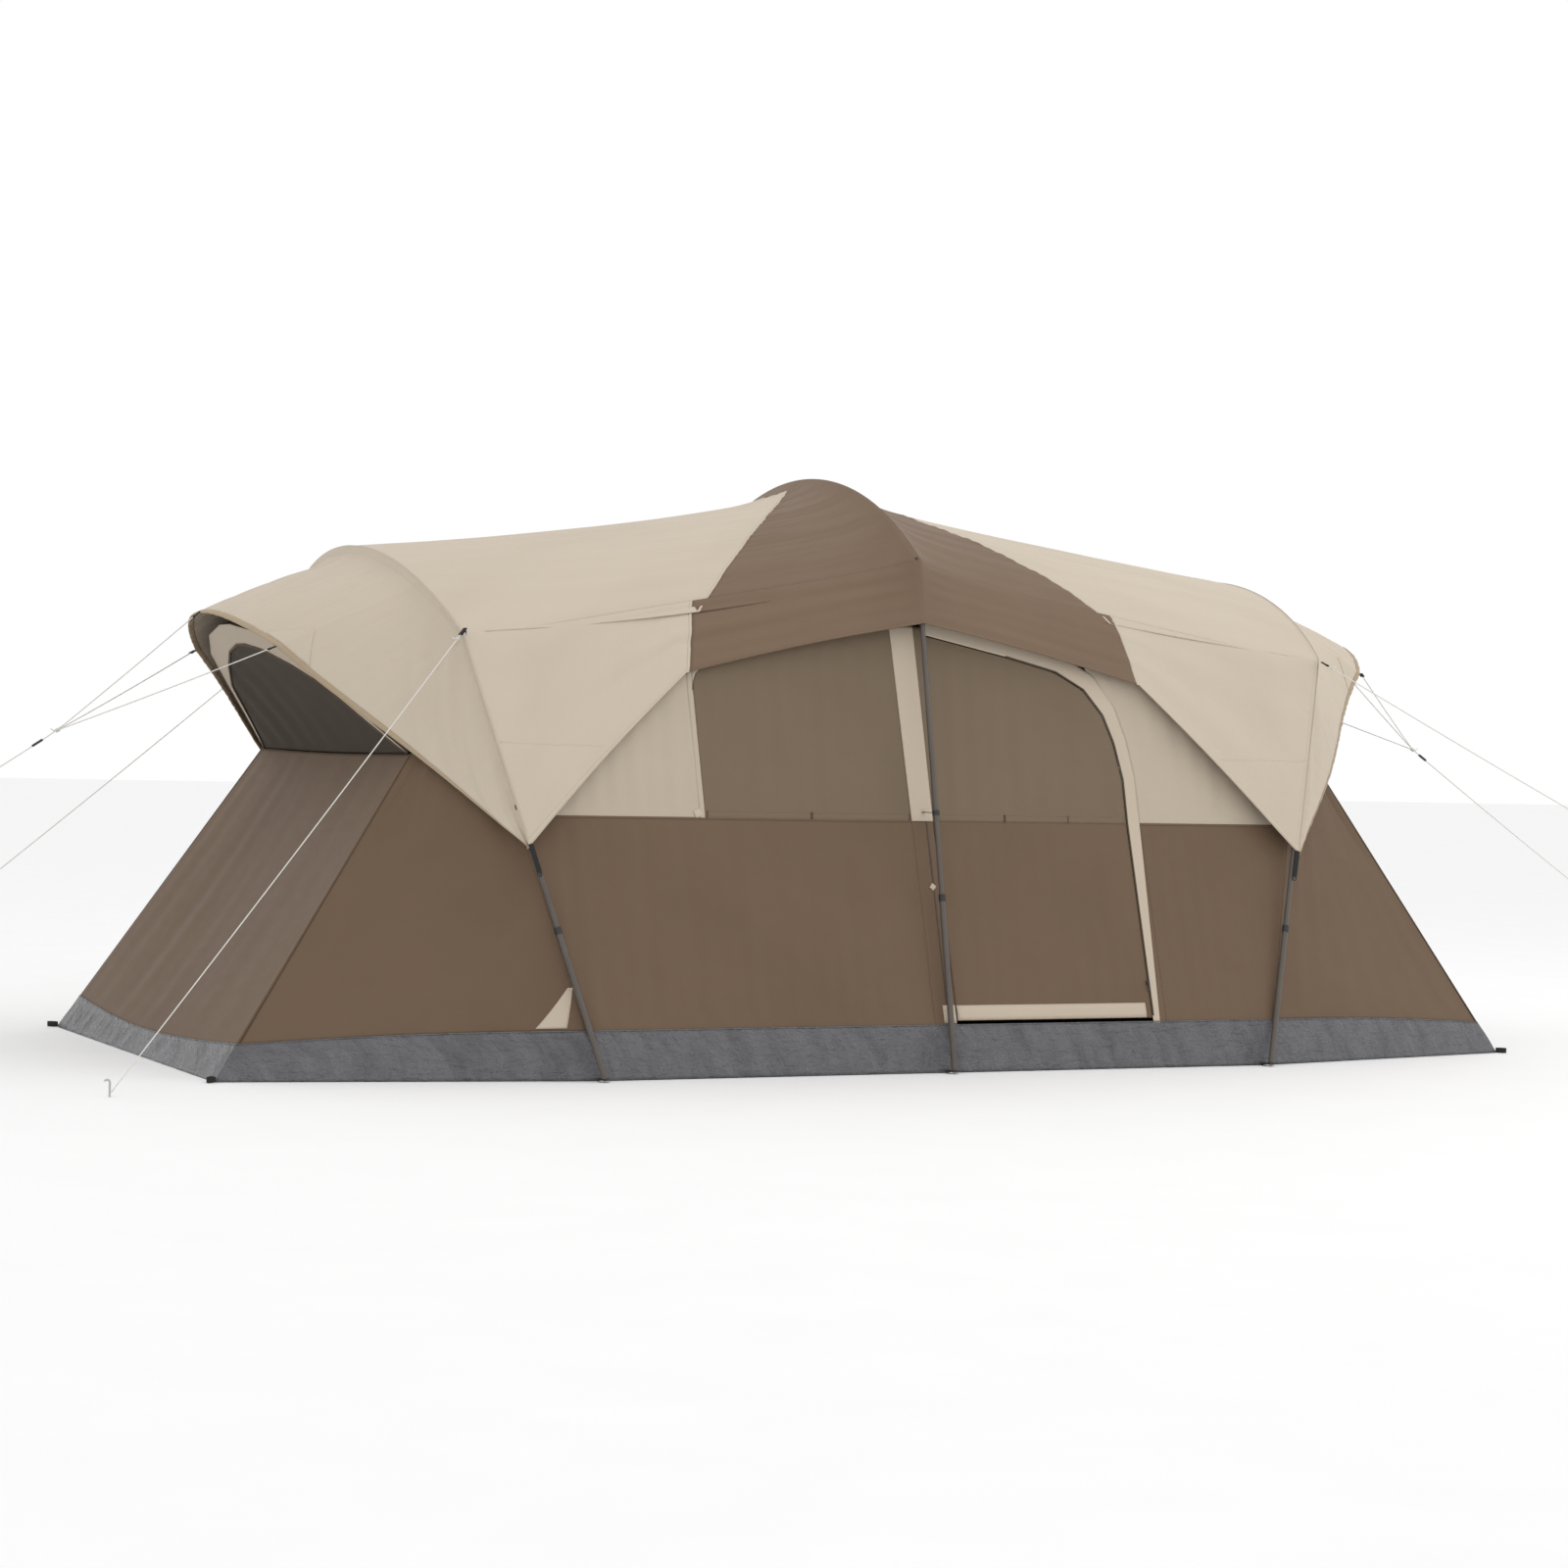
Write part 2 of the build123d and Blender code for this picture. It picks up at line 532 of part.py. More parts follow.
halves = []
for hoop in (left_hoop, right_hoop):
    with BuildPart() as half:
        add(fly_section(centre_hoop, hem_mid_z - 10))
        add(fly_section(hoop, tip_s))
        loft()
        add(above_hem.part, mode=Mode.INTERSECT)
    halves.append(half.part)
wedges = {}
for end_name, end in ends.items():
    with BuildPart() as wedge:
        with BuildSketch(Plane.XY):
            with BuildLine():
                Polyline((-45, 0), (45, 0), (905, end * 1100), (-905, end * 1100), close=True)
            make_face()
        extrude(amount=2500)
    wedges[end_name] = wedge.part
    with BuildPart() as brown:
        add(halves)
        add(wedge.part, mode=Mode.INTERSECT)
    save("fly_centre_" + end_name, brown.part)
for side, half in zip(("left", "right"), halves):
    with BuildPart() as cream_fly:
        add(half)
        add(wedges["front"], mode=Mode.SUBTRACT)
        add(wedges["back"], mode=Mode.SUBTRACT)
    save("fly_" + side, cream_fly.part)

# hoods: from the side hoop's section out to a flat rim through the apex and the two tips
for side, hoop in (("left", left_hoop), ("right", right_hoop)):
    apex_x, apex_z = hood_apex[side]
    rim_height = hypot(apex_x - tip_x, apex_z - tip_z)
    tie_w = rim_height * hood_tie_drop
    mid = vec(hoop.side * tip_x, 0, tip_z)
    rise = vec(hoop.side * apex_x, 0, apex_z) - mid
    rim_plane = Plane(origin=mid, x_dir=(0, 1, 0), z_dir=vec(0, 1, 0).cross(rise))
    tip_y = hoop.fly_edge(fly_gap + cloth, tip_s)[0][0]
    with BuildPart() as hood:
        add(fly_section(hoop, tip_s + 40))
        with BuildSketch(rim_plane):
            with BuildLine():
                start, tie, top = (tip_y - 26, 40), (hood_tie_y, tie_w), (0, rim_height)
                inner_start, inner_tie = (start[0] - 5, 40), (tie[0] - 4, tie[1] - 3)
                inner_top = (0, top[1] - cloth)
                Line(start, tie)
                ThreePointArc(tie, top, (-tie[0], tie[1]))
                Line((-tie[0], tie[1]), (-start[0], start[1]))
                Line((-start[0], start[1]), (-inner_start[0], inner_start[1]))
                Line((-inner_start[0], inner_start[1]), (-inner_tie[0], inner_tie[1]))
                ThreePointArc((-inner_tie[0], inner_tie[1]), inner_top, inner_tie)
                Line(inner_tie, inner_start)
                Line(inner_start, start)
            make_face()
        loft()
    save("hood_" + side, hood.part)

# webbing, hooks and guy line tabs
corner_straps = []
for hoop in (left_hoop, right_hoop):
    for end in ends.values():
        top = hoop.at(end * (foot_y - hoop.lean * tip_s), tip_s - 6)
        low_end = hoop.at(end * (foot_y - hoop.lean * (tip_s - 95)), tip_s - 95)
        out = vec(0, end * (fly_gap + 3), 0)
        with BuildPart() as strap:
            with BuildSketch(Plane(origin=top + out, x_dir=(1, 0, 0), z_dir=low_end - top)):
                Rectangle(18, 2)
            extrude(amount=(low_end - top).length)
            with BuildSketch(Plane(origin=low_end + out, x_dir=(1, 0, 0), z_dir=(0, end, 0)).offset(-1)):
                Circle(9)
                Circle(5.5, mode=Mode.SUBTRACT)
            extrude(amount=-3)
        corner_straps.append(strap.part)
save("fly_corner_straps", *corner_straps)

loops = []
for sx in (-1, 1):
    for sy in (-1, 1):
        with BuildPart() as loop:
            with BuildSketch(Plane.XY):
                at_corner = (sx * (corner_x + 14), sy * (corner_y + 10), 0)
                with Locations(Location(at_corner, (0, 0, sx * sy * 40))):
                    SlotOverall(46, 22)
                    SlotOverall(41, 17, mode=Mode.SUBTRACT)
            extrude(amount=20)
            with BuildSketch(Plane.XY):
                with BuildLine():
                    bend = [(sx * x, sy * y) for x, y in floor_outline[:2]]
                    Polyline(*bend, (0, 0), (sx * corner_x, 0), close=True)
                make_face()
                offset(amount=0.5, kind=Kind.INTERSECTION, mode=Mode.REPLACE)
            extrude(amount=25, mode=Mode.SUBTRACT)
        loops.append(loop.part)
save("corner_loops", *loops)

# guy lines
tab_long = 30.0


def tab(start, end_point, width=20.0):
    """A folded webbing tab that points along its line."""
    start, line = vec(*start), (vec(*end_point) - vec(*start)).normalized()
    flat = vec(0, 0, 1).cross(line)
    with BuildPart() as folded:
        with BuildSketch(Plane(origin=start + line * 1.5, x_dir=flat, z_dir=line)):
            Rectangle(width, 2.4)
        with BuildSketch(Plane(origin=start + line * tab_long, x_dir=flat, z_dir=line)):
            Rectangle(width * 0.4, 4.6)
        loft()
    return folded.part


def cord(name, route, bend=60.0):
    """A taut line: straight runs, with a short arc where it turns at a knot."""
    with BuildPart() as line:
        with BuildLine() as path:
            if len(route) > 2:
                FilletPolyline(*route, radius=bend)
            else:
                Line(*route)
        with BuildSketch(Plane(origin=route[0], z_dir=path.wire() % 0)):
            Circle(cord_r)
        sweep()
    length = path.wire().length
    print(name, "length", round(length))
    return save(name, line.part)


def along(start, end_point, reach):
    """The point a given distance from start towards end_point."""
    start, end_point = vec(*start), vec(*end_point)
    return start + (end_point - start).normalized() * reach


side_tab = (1745.0, 1004.0, 1506.0)  # on the fly over each side hoop's elbow
tabs = []
line_ends = {
    "front_left": (-3019, -1386, 14),
    "front_right": (3096, -1450, 744),
    "back_left": (-2992, 1415, 373),
    "back_right": (3019, 1386, 14),
}
for name, far in line_ends.items():
    sx, sy = (-1 if "left" in name else 1), (-1 if "front" in name else 1)
    start = (sx * side_tab[0], sy * side_tab[1], side_tab[2])
    tabs.append(tab(start, far))
    if name != "back_right":  # its line is left off
        cord("guy_line_" + name, [along(start, far, tab_long), far])

knots = {"left": (-2871.0, 0.0, 1131.0), "right": (2927.0, 0.0, 1185.0)}
line_far = {"left": (-3190.0, 0.0, 920.0), "right": (3880.0, 0.0, 575.0)}
tensioners = {"left": 62.0, "right": 40.0}  # each one's distance beyond its knot
for side, sx in (("left", -1), ("right", 1)):
    knot, far = knots[side], line_far[side]
    apex_x, apex_z = hood_apex[side]
    tie_x, tie_z = tip_x + (apex_x - tip_x) * hood_tie_drop, tip_z + (apex_z - tip_z) * hood_tie_drop
    apex = (sx * (apex_x + 4), 0, apex_z)
    tabs.append(tab(apex, knot, 16))
    cord("guy_line_" + side, [along(apex, knot, tab_long), knot, far])
    for end_name, end in ends.items():
        tie = (sx * (tie_x + 5), end * (hood_tie_y + 2), tie_z)
        tabs.append(tab(tie, knot, 16))
        cord("bridle_" + side + "_" + end_name, [along(tie, knot, tab_long), knot])
    start = along(knot, far, tensioners[side])
    with BuildPart() as tensioner:
        with BuildSketch(Plane(origin=start, x_dir=(0, 1, 0), z_dir=vec(*far) - vec(*knot))):
            RectangleRounded(11, 8, 2)
            Circle(cord_r + 0.08, mode=Mode.SUBTRACT)
        extrude(amount=42)
    save("tensioner_" + side, tensioner.part)
save("guy_line_tabs", *tabs)

stake_x, stake_y = line_ends["front_left"][0] - 6.2, line_ends["front_left"][1] - 2.0
with BuildPart() as stake:
    with BuildSketch(Plane.XY):
        with Locations((stake_x, stake_y)):
            Circle(3.5)
    extrude(amount=44)
    with BuildSketch(Plane(origin=(stake_x, stake_y, 44), x_dir=(1, 0, 0), z_dir=(0, 0, 1))):
        Circle(3.5)
    revolve(axis=Axis((stake_x - 9, stake_y, 44), (0, -1, 0)), revolution_arc=150)
save("stake_front_left", stake.part)
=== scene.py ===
from math import atan2, cos, pi, radians, sin, sqrt, tan

import bpy
import numpy as np
from mathutils import Matrix, Vector


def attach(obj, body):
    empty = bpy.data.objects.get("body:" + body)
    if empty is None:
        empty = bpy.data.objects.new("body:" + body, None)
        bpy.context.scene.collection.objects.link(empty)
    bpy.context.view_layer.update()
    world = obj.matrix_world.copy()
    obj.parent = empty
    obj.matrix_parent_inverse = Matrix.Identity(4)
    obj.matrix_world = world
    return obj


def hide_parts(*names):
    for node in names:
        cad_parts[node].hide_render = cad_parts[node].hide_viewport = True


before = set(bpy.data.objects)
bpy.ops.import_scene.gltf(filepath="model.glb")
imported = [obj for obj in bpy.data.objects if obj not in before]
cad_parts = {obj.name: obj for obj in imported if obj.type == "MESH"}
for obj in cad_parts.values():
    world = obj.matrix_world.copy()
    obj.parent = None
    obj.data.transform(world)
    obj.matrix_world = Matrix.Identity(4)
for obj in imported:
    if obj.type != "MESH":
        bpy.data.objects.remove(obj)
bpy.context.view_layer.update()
print("frame loaded")

cameraSet = {"place": (-5.741, -11.637, 1.148), "turn": 26.09, "nod": -0.698, "roll": 1.402, "lens": 77.05}


# A camera from a heading right of +Y, a nod above level and a roll, all in degrees.
def makeCamera(s):
    turn, nod, roll = (radians(s[k]) for k in ("turn", "nod", "roll"))
    ahead = Vector((sin(turn) * cos(nod), cos(turn) * cos(nod), sin(nod)))
    level = Vector((cos(turn), -sin(turn), 0))
    rise = level.cross(ahead)
    right = level * cos(roll) + rise * sin(roll)
    up = rise * cos(roll) - level * sin(roll)
    data = bpy.data.cameras.new("camera")
    data.lens, data.sensor_width, data.clip_end = s["lens"], 36, 200
    camera = bpy.data.objects.new("camera", data)
    turned = Matrix((right, up, -ahead)).transposed().to_4x4()
    camera.matrix_world = Matrix.Translation(s["place"]) @ turned
    bpy.context.scene.collection.objects.link(camera)
    bpy.context.scene.camera = camera


makeCamera(cameraSet)

hoop = {"x": 1.330, "tilt": radians(15.1), "footY": 1.335, "elbowY": 0.962, "rise": 0.330,
        "elbowMid": 1.820, "elbowSide": 1.495}
fly = {"grow": 0.0168, "over": 0.014, "tipZ": 0.779, "hemMid": 1.590, "hemTurnX": 0.920, "hemTurnZ": 1.400,
       "sag": 0.070, "sideSag": 0.012}
wall = {"footY": 1.277, "seamY": 1.060, "topY": 0.940, "tubZ": 0.170, "seamZ": 0.880, "topZ": 1.590}
tub = {"cornerX": 2.590, "cornerY": 1.045, "footY": 1.285, "topEnd": 0.120}
ridge = {"x": 1.868, "y": 0.836, "z": 1.080}
rims = {-1: {"apexX": 2.370, "apexZ": 1.562, "drop": 0.84, "tieY": 0.490, "tieQ": 0.42},
        1: {"apexX": 2.430, "apexZ": 1.618, "drop": 0.84, "tieY": 0.490, "tieQ": 0.42}}
cut = {-1: {"broad": 0.020, "rise": -0.004}, 1: {"broad": 0.004, "rise": 0.022}}  # how each half is pulled
cordR = 0.002


# A smooth line with the route's points as its control points.
def nurbs(name, route, radius):
    name = name + "_cord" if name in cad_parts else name
    curve = bpy.data.curves.new(name, "CURVE")
    curve.dimensions = "3D"
    curve.bevel_depth, curve.bevel_resolution, curve.use_fill_caps = radius, 3, True
    spline = curve.splines.new("NURBS")
    spline.points.add(len(route) - 1)
    for point, place in zip(spline.points, route):
        point.co = (*place, 1)
    spline.order_u = min(3, len(route))
    spline.use_endpoint_u = True
    spline.resolution_u = 10
    line = bpy.data.objects.new(name, curve)
    bpy.context.scene.collection.objects.link(line)
    return line


# The point at a distance from start on the way to far.
def towards(start, far, reach):
    a, b = np.array(start, float), np.array(far, float)
    return a + (b - a) / np.linalg.norm(b - a) * reach


tabLong = 0.030
sideTab = (1.745, 1.004, 1.506)
sideFar = {"front_left": (-3.019, -1.386, 0.014), "front_right": (3.096, -1.450, 0.744),
           "back_left": (-2.992, 1.415, 0.373)}
knots = {"left": (-2.871, 0.0, 1.131), "right": (2.927, 0.0, 1.185)}
endFar = {"left": (-3.190, 0.0, 0.920), "right": (3.880, 0.0, 0.575)}


# Cloth round one hoop: a roof arc of radius r about arcS, then a straight drop from the shoulder to the hem.
def section(elbowZ, tilt, hemZ):
    elbowS = elbowZ / cos(tilt)
    r = (hoop["elbowY"] ** 2 + hoop["rise"] ** 2) / (2 * hoop["rise"])
    arcS = elbowS + hoop["rise"] - r
    lean = (hoop["footY"] - hoop["elbowY"]) / elbowS
    a, r = hoop["footY"] + fly["grow"] * sqrt(1 + lean**2), r + fly["grow"]
    qa, qb, qc = 1 + lean**2, -2 * (a * lean + arcS), a * a + arcS**2 - r * r
    s = (-qb + sqrt(qb * qb - 4 * qa * qc)) / (2 * qa)
    hemS = hemZ / cos(tilt)
    return {"r": r, "arcS": arcS, "half": np.arcsin((a - lean * s) / r),
            "drop": (lean * (s - hemS), hemS - s)}


# Distance from the middle and up the hoop, at share t of the roof arc and share d of the drop.
def onSection(sec, t, d):
    angle = sec["half"] * t
    y = sec["r"] * np.sin(angle) + sec["drop"][0] * d
    return y, sec["arcS"] + sec["r"] * np.cos(angle) + sec["drop"][1] * d


middleSection = section(hoop["elbowMid"], 0.0, fly["hemMid"] - 0.010)
sideSection = section(hoop["elbowSide"], hoop["tilt"], fly["tipZ"])
turnQ = 0.66  # share of each row that lies on the roof arc


# The cloth's line round a side hoop, as distances out, across and up, lifted where that half is pulled up.
def sidePlace(side, t, d):
    y, s = onSection(sideSection, t, d)
    out, up = sin(hoop["tilt"]), cos(hoop["tilt"])
    rise = cut[side]["rise"] * np.cos(sideSection["half"] * t) * (1 - d)
    return hoop["x"] + s * out + fly["over"] * up, y, s * up - fly["over"] * out + rise


tipX, tipY = sidePlace(1, 1.0, 1.0)[:2]


# Straight lines from the middle hoop's section to the side hoop's, at share u of the way.
def flyPlace(side, u, t, d, end):
    y0, z0 = onSection(middleSection, t, d)
    x1, y1, z1 = sidePlace(side, t, d)
    return np.stack([side * u * x1, end * ((1 - u) * y0 + u * y1), (1 - u) * z0 + u * z1], -1)


# Height of the fly's hem: a shallow slope under the brown panel, then a steep run down to the tip.
def hemZ(x):
    x = np.abs(x)
    share = np.clip(x / fly["hemTurnX"], 0, 1)
    upper = fly["hemMid"] + (fly["hemTurnZ"] - fly["hemMid"]) * share + 0.012 * np.sin(pi * share)
    run = np.clip((x - fly["hemTurnX"]) / (tipX - fly["hemTurnX"]), 0, 1)
    lower = fly["hemTurnZ"] + (fly["tipZ"] - fly["hemTurnZ"]) * run + 0.016 * np.sin(pi * run)
    return np.where(x < fly["hemTurnX"], upper, lower)


# Share of the drop at which each line reaches the hem, found by halving.
def hemDrop(u):
    low, high = np.zeros_like(u), np.ones_like(u)
    for _ in range(24):
        middle = (low + high) / 2
        place = flyPlace(1, u, 1.0, middle, 1)
        above = place[..., 2] > hemZ(place[..., 0])
        low, high = np.where(above, middle, low), np.where(above, high, middle)
    return (low + high) / 2


# Arc share t and drop share d for a row q from the front hem (-1) over the crest (0) to the back hem (1).
def rowShares(q, u):
    reach = np.abs(q)
    return np.clip(reach / turnQ, 0, 1), np.clip((reach - turnQ) / (1 - turnQ), 0, 1) * hemDrop(u)


# Share of the way to the side hoop at which the brown panel ends, by row.
def brownEdge(q):
    t = np.clip(np.abs(q) / turnQ, 0, 1)
    d = np.clip((np.abs(q) - turnQ) / (1 - turnQ), 0, 1)
    return 0.036 + 0.36 * t + 0.094 * t**2 + 0.060 * d


# Unit normals of a grid of points, from the cross product of its two directions.
def normals(points):
    a, b = np.gradient(points, axis=0), np.gradient(points, axis=1)
    n = np.cross(a, b)
    return n / np.maximum(np.linalg.norm(n, axis=-1, keepdims=True), 1e-12)


# The grid's normals, turned to point away from a place inside the tent.
def outward(points, inside=(0, 0, 0.7)):
    n = normals(points)
    away = np.sum(n * (points - np.array(inside)), -1).mean()
    return n if away > 0 else -n


# Length along each row and column of the grid, in metres.
def measured(points):
    down = np.linalg.norm(np.diff(points, axis=0), axis=-1)
    over = np.linalg.norm(np.diff(points, axis=1), axis=-1)
    v = np.concatenate([np.zeros((1, points.shape[1])), np.cumsum(down, 0)])
    u = np.concatenate([np.zeros((points.shape[0], 1)), np.cumsum(over, 1)], 1)
    return u, v


# Long folds side by side: sine ridges across the cloth that drift and fade slowly along it.
def creases(across, along, seed, pitch, height, count=7, wander=0.3):
    rng = np.random.default_rng(seed)
    total = np.zeros(np.broadcast(across, along).shape)
    for _ in range(count):
        wave, rate, start = pitch * rng.uniform(0.6, 1.8), rng.uniform(0.8, 2.6), rng.uniform(0, 2 * pi, 3)
        drift = wander * np.sin(along * rate + start[0])
        fade = 0.5 + 0.5 * np.sin(along * rng.uniform(1, 4) + across * rng.uniform(-4, 4) + start[1])
        total += np.sin(2 * pi * (across / wave + drift) + start[2]) * fade
    return height * total / sqrt(count)


# A gathered seam: the cloth is drawn in at each stitch group and swells between them.
def pucker(reach, along, pitch=0.042, height=0.0035, fade=0.035):
    return height * (np.abs(np.sin(pi * along / pitch)) - 0.6) * np.exp(-reach / fade)


# The fly between two hoops: straight lines that sag inwards, with long creases and a puckered seam.
def flySurface(side, q, u, seed):
    t, d = rowShares(q, u)
    end = np.where(q < 0, -1.0, 1.0)
    base = flyPlace(side, u, t, d, end)
    n = outward(base)
    drop = np.clip((np.abs(q) - turnQ) / (1 - turnQ), 0, 1)
    steep = (1 - np.exp(-u / 0.06)) * (1 - u) ** 0.9  # falls off the middle hoop, then runs flat
    depth = fly["sag"] * (1 - drop) * steep + (fly["sideSag"] * drop + cut[side]["broad"]) * 4 * u * (1 - u)
    ends = np.clip(u / 0.05, 0, 1) * np.clip((1 - u) / 0.06, 0, 1)
    acrossM, alongM = q * 1.75, np.abs(base[..., 0])
    roof = np.clip(1.15 - np.abs(q) * 1.5, 0.12, 1)
    fine = creases(acrossM, alongM, seed, 0.034, 0.0012, 9) * roof
    wide = creases(acrossM, alongM, seed + 1, 0.16, 0.0035, 5)
    middleDrop, sideDrop = (np.hypot(*part["drop"]) for part in (middleSection, sideSection))
    dropRate = ((1 - u) * middleDrop + u * sideDrop) * hemDrop(u) / (1 - turnQ)
    far = (np.abs(q) - turnQ) * np.where(np.abs(q) < turnQ, 1.65, dropRate)
    bendR = 0.030 + 0.36 * u * (1 - u)
    roundOff = 0.34 * (np.sqrt(far**2 + bendR**2) - np.abs(far)) * np.clip(u / 0.04, 0.25, 1) * np.clip(
        (1 - u) / 0.05, 0.25, 1)
    seam = np.abs(u - brownEdge(q)) * 1.8
    stitch = pucker(seam, acrossM, height=0.0042) * np.clip(1.3 - np.abs(q) * 1.5, 0.1, 1)
    lift = (fine + wide) * ends + stitch - depth - roundOff
    return base + n * lift[..., None]


# The hood's rim, in one sloping plane: an arc over the apex between the ties, then straight to the tips.
def rimPlace(side, q):
    rim = rims[side]
    tall = sqrt((rim["apexX"] - tipX) ** 2 + (rim["apexZ"] - fly["tipZ"]) ** 2)
    rise = tall * (1 - rim["drop"])
    bend = (rim["tieY"] ** 2 + rise**2) / (2 * rise)
    reach = np.abs(q)
    angle = np.clip(reach / rim["tieQ"], 0, 1) * np.arcsin(rim["tieY"] / bend)
    f = np.clip((reach - rim["tieQ"]) / (1 - rim["tieQ"]), 0, 1)
    y = bend * np.sin(angle) + (tipY - rim["tieY"]) * f - 0.030 * np.sin(2 * pi * f) * (1 - f) + 0.022 * np.sin(pi * f) ** 2
    w = (tall - bend + bend * np.cos(angle)) * (1 - f)
    out = (rim["apexX"] - tipX) / tall
    up = (rim["apexZ"] - fly["tipZ"]) / tall
    return np.stack([side * (tipX + w * out + 0.004 * f), np.sign(q) * y, fly["tipZ"] + w * up], -1)


# The end hood before it sags: straight lines from the side hoop to the rim.
def hoodPlace(side, w, q):
    reach = np.abs(q)
    t, d = np.clip(reach / turnQ, 0, 1), np.clip((reach - turnQ) / (1 - turnQ), 0, 1)
    x, y, z = sidePlace(side, t, d)
    start = np.stack([side * x + 0 * w, np.sign(q) * y + 0 * w, z + 0 * w], -1)
    return start + (rimPlace(side, q + 0 * w) - start) * w[..., None]


# The hood with its shallow sag, creases that run out to the ties, and a gathered hem.
def hoodSurface(side, w, q, seed):
    base = hoodPlace(side, w, q)
    n = outward(base)
    reach = np.abs(q)
    span = 4 * w * (1 - w)
    lengthM, widthM = w * 0.8, q * 1.75
    fine = creases(widthM, lengthM, seed, 0.060, 0.0014, 8) * np.clip(w * 8, 0, 1)
    fan = creases(widthM - 0.5 * lengthM * np.sign(q), lengthM, seed + 1, 0.20, 0.0060, 5) * span
    hem = pucker((1 - w) * 0.7, widthM, 0.030, 0.0030, 0.030) * np.exp(-((reach - 0.52) / 0.14) ** 2)
    ridgeLine = 0.0025 * np.exp(-(w / 0.02) ** 2)
    sag = 0.05 * (1 - np.exp(-w / 0.06)) * (1 - w) ** 2 * (1 - 0.6 * reach)
    far = (reach - turnQ) * np.where(reach < turnQ, 1.65, 2.2)
    bendR = 0.030 + 0.30 * w * (1 - w)
    sag = sag + 0.34 * (np.sqrt(far**2 + bendR**2) - np.abs(far)) * np.clip(w / 0.05, 0.25, 1) * (1 - w)
    return base + n * (fine + fan + hem + ridgeLine - sag)[..., None]


print("shapes ready")


# A value on a material's wires: arithmetic on it adds Math nodes, with plain numbers set on their sockets.
class Wire:
    def __init__(self, look, socket):
        self.look = look
        self.socket = socket

    def maths(self, operation, *given):
        node = self.look.tree.nodes.new("ShaderNodeMath")
        node.operation = operation
        for place, value in enumerate(given):
            self.look.feed(node.inputs[place], value)
        return Wire(self.look, node.outputs[0])

    def __add__(self, other):
        return self.maths("ADD", self, other)

    def __radd__(self, other):
        return self.maths("ADD", other, self)

    def __sub__(self, other):
        return self.maths("SUBTRACT", self, other)

    def __rsub__(self, other):
        return self.maths("SUBTRACT", other, self)

    def __mul__(self, other):
        return self.maths("MULTIPLY", self, other)

    def __rmul__(self, other):
        return self.maths("MULTIPLY", other, self)

    def __pow__(self, other):
        return self.maths("POWER", self, other)

    def sine(self):
        return self.maths("SINE", self)

    def held(self):
        return self.maths("MAXIMUM", self.maths("MINIMUM", self, 1.0), 0.0)


# A procedural material: node() adds a node with its settings, feed() links a wire or sets a plain value.
class Look:
    def __init__(self, name, **fixed):
        self.material = bpy.data.materials.new(name)
        self.material.use_nodes = True
        self.tree = self.material.node_tree
        self.shader = self.tree.nodes["Principled BSDF"]
        self.shade(**fixed)

    def feed(self, socket, value):
        if isinstance(value, Wire):
            self.tree.links.new(value.socket, socket)
        else:
            socket.default_value = value

    def node(self, kind, settings, out=0, **inputs):
        node = self.tree.nodes.new("ShaderNode" + kind)
        for key, value in settings.items():
            setattr(node, key, value)
        for key, value in inputs.items():
            self.feed(node.inputs[key.replace("_", " ")], value)
        return Wire(self, node.outputs[out])

    def shade(self, **inputs):
        for key, value in inputs.items():
            self.feed(self.shader.inputs[key.replace("_", " ")], value)

    # The place in metres: along the cloth on its own map, or the object's own axes.
    def place(self, onCloth, scale=(1, 1, 1)):
        if onCloth:
            where = self.node("UVMap", {"uv_map": "cloth"})
        else:
            where = self.node("TexCoord", {}, 3)
        return self.node("Mapping", {}, Vector=where, Scale=scale)

    def noise(self, where, scale, detail=3.0, rough=0.55):
        return self.node("TexNoise", {}, 0, Vector=where, Scale=scale, Detail=detail, Roughness=rough)

    def mixed(self, factor, a, b):
        node = self.tree.nodes.new("ShaderNodeMix")
        node.data_type = "RGBA"
        for place, value in ((0, factor), (6, a), (7, b)):
            self.feed(node.inputs[place], value)
        return Wire(self, node.outputs[2])

    def bump(self, height, strength, distance):
        return self.node("Bump", {}, 0, Height=height, Strength=strength, Distance=distance)


# A tightly woven coated cloth: threads as two crossed sines, short wrinkles from stretched noise, and a colour
# that drifts between two tones with broad noise.
def clothLook(name, tone, deep, rough=0.66, wrinkle=0.55, fine=0.35, sheen=0.03):
    look = Look(name, Sheen_Weight=sheen, Sheen_Roughness=0.5, Specular_IOR_Level=0.22)
    flat = look.place(True)
    parts = look.node("SeparateXYZ", {}, 0, Vector=flat)
    across = parts
    along = Wire(look, parts.socket.node.outputs[1])
    thread = (across * 2600.0).sine() * (along * 2600.0).sine()
    broad = look.noise(look.place(True, (0.8, 0.8, 1)), 2.2, 3.0)
    small = look.noise(look.place(True, (9, 22, 1)), 1.0, 4.0)
    crossed = look.noise(look.place(True, (26, 7, 1)), 1.0, 4.0)
    shift = ((broad - 0.42) * 2.6).held()
    look.shade(Base_Color=look.mixed(shift, (*tone, 1), (*deep, 1)))
    look.shade(Roughness=rough + (small - 0.5) * 0.16)
    ripple = (small + crossed) * wrinkle + thread * 0.012 * fine
    look.shade(Normal=look.bump(ripple, 0.30, 0.006))
    return look.material
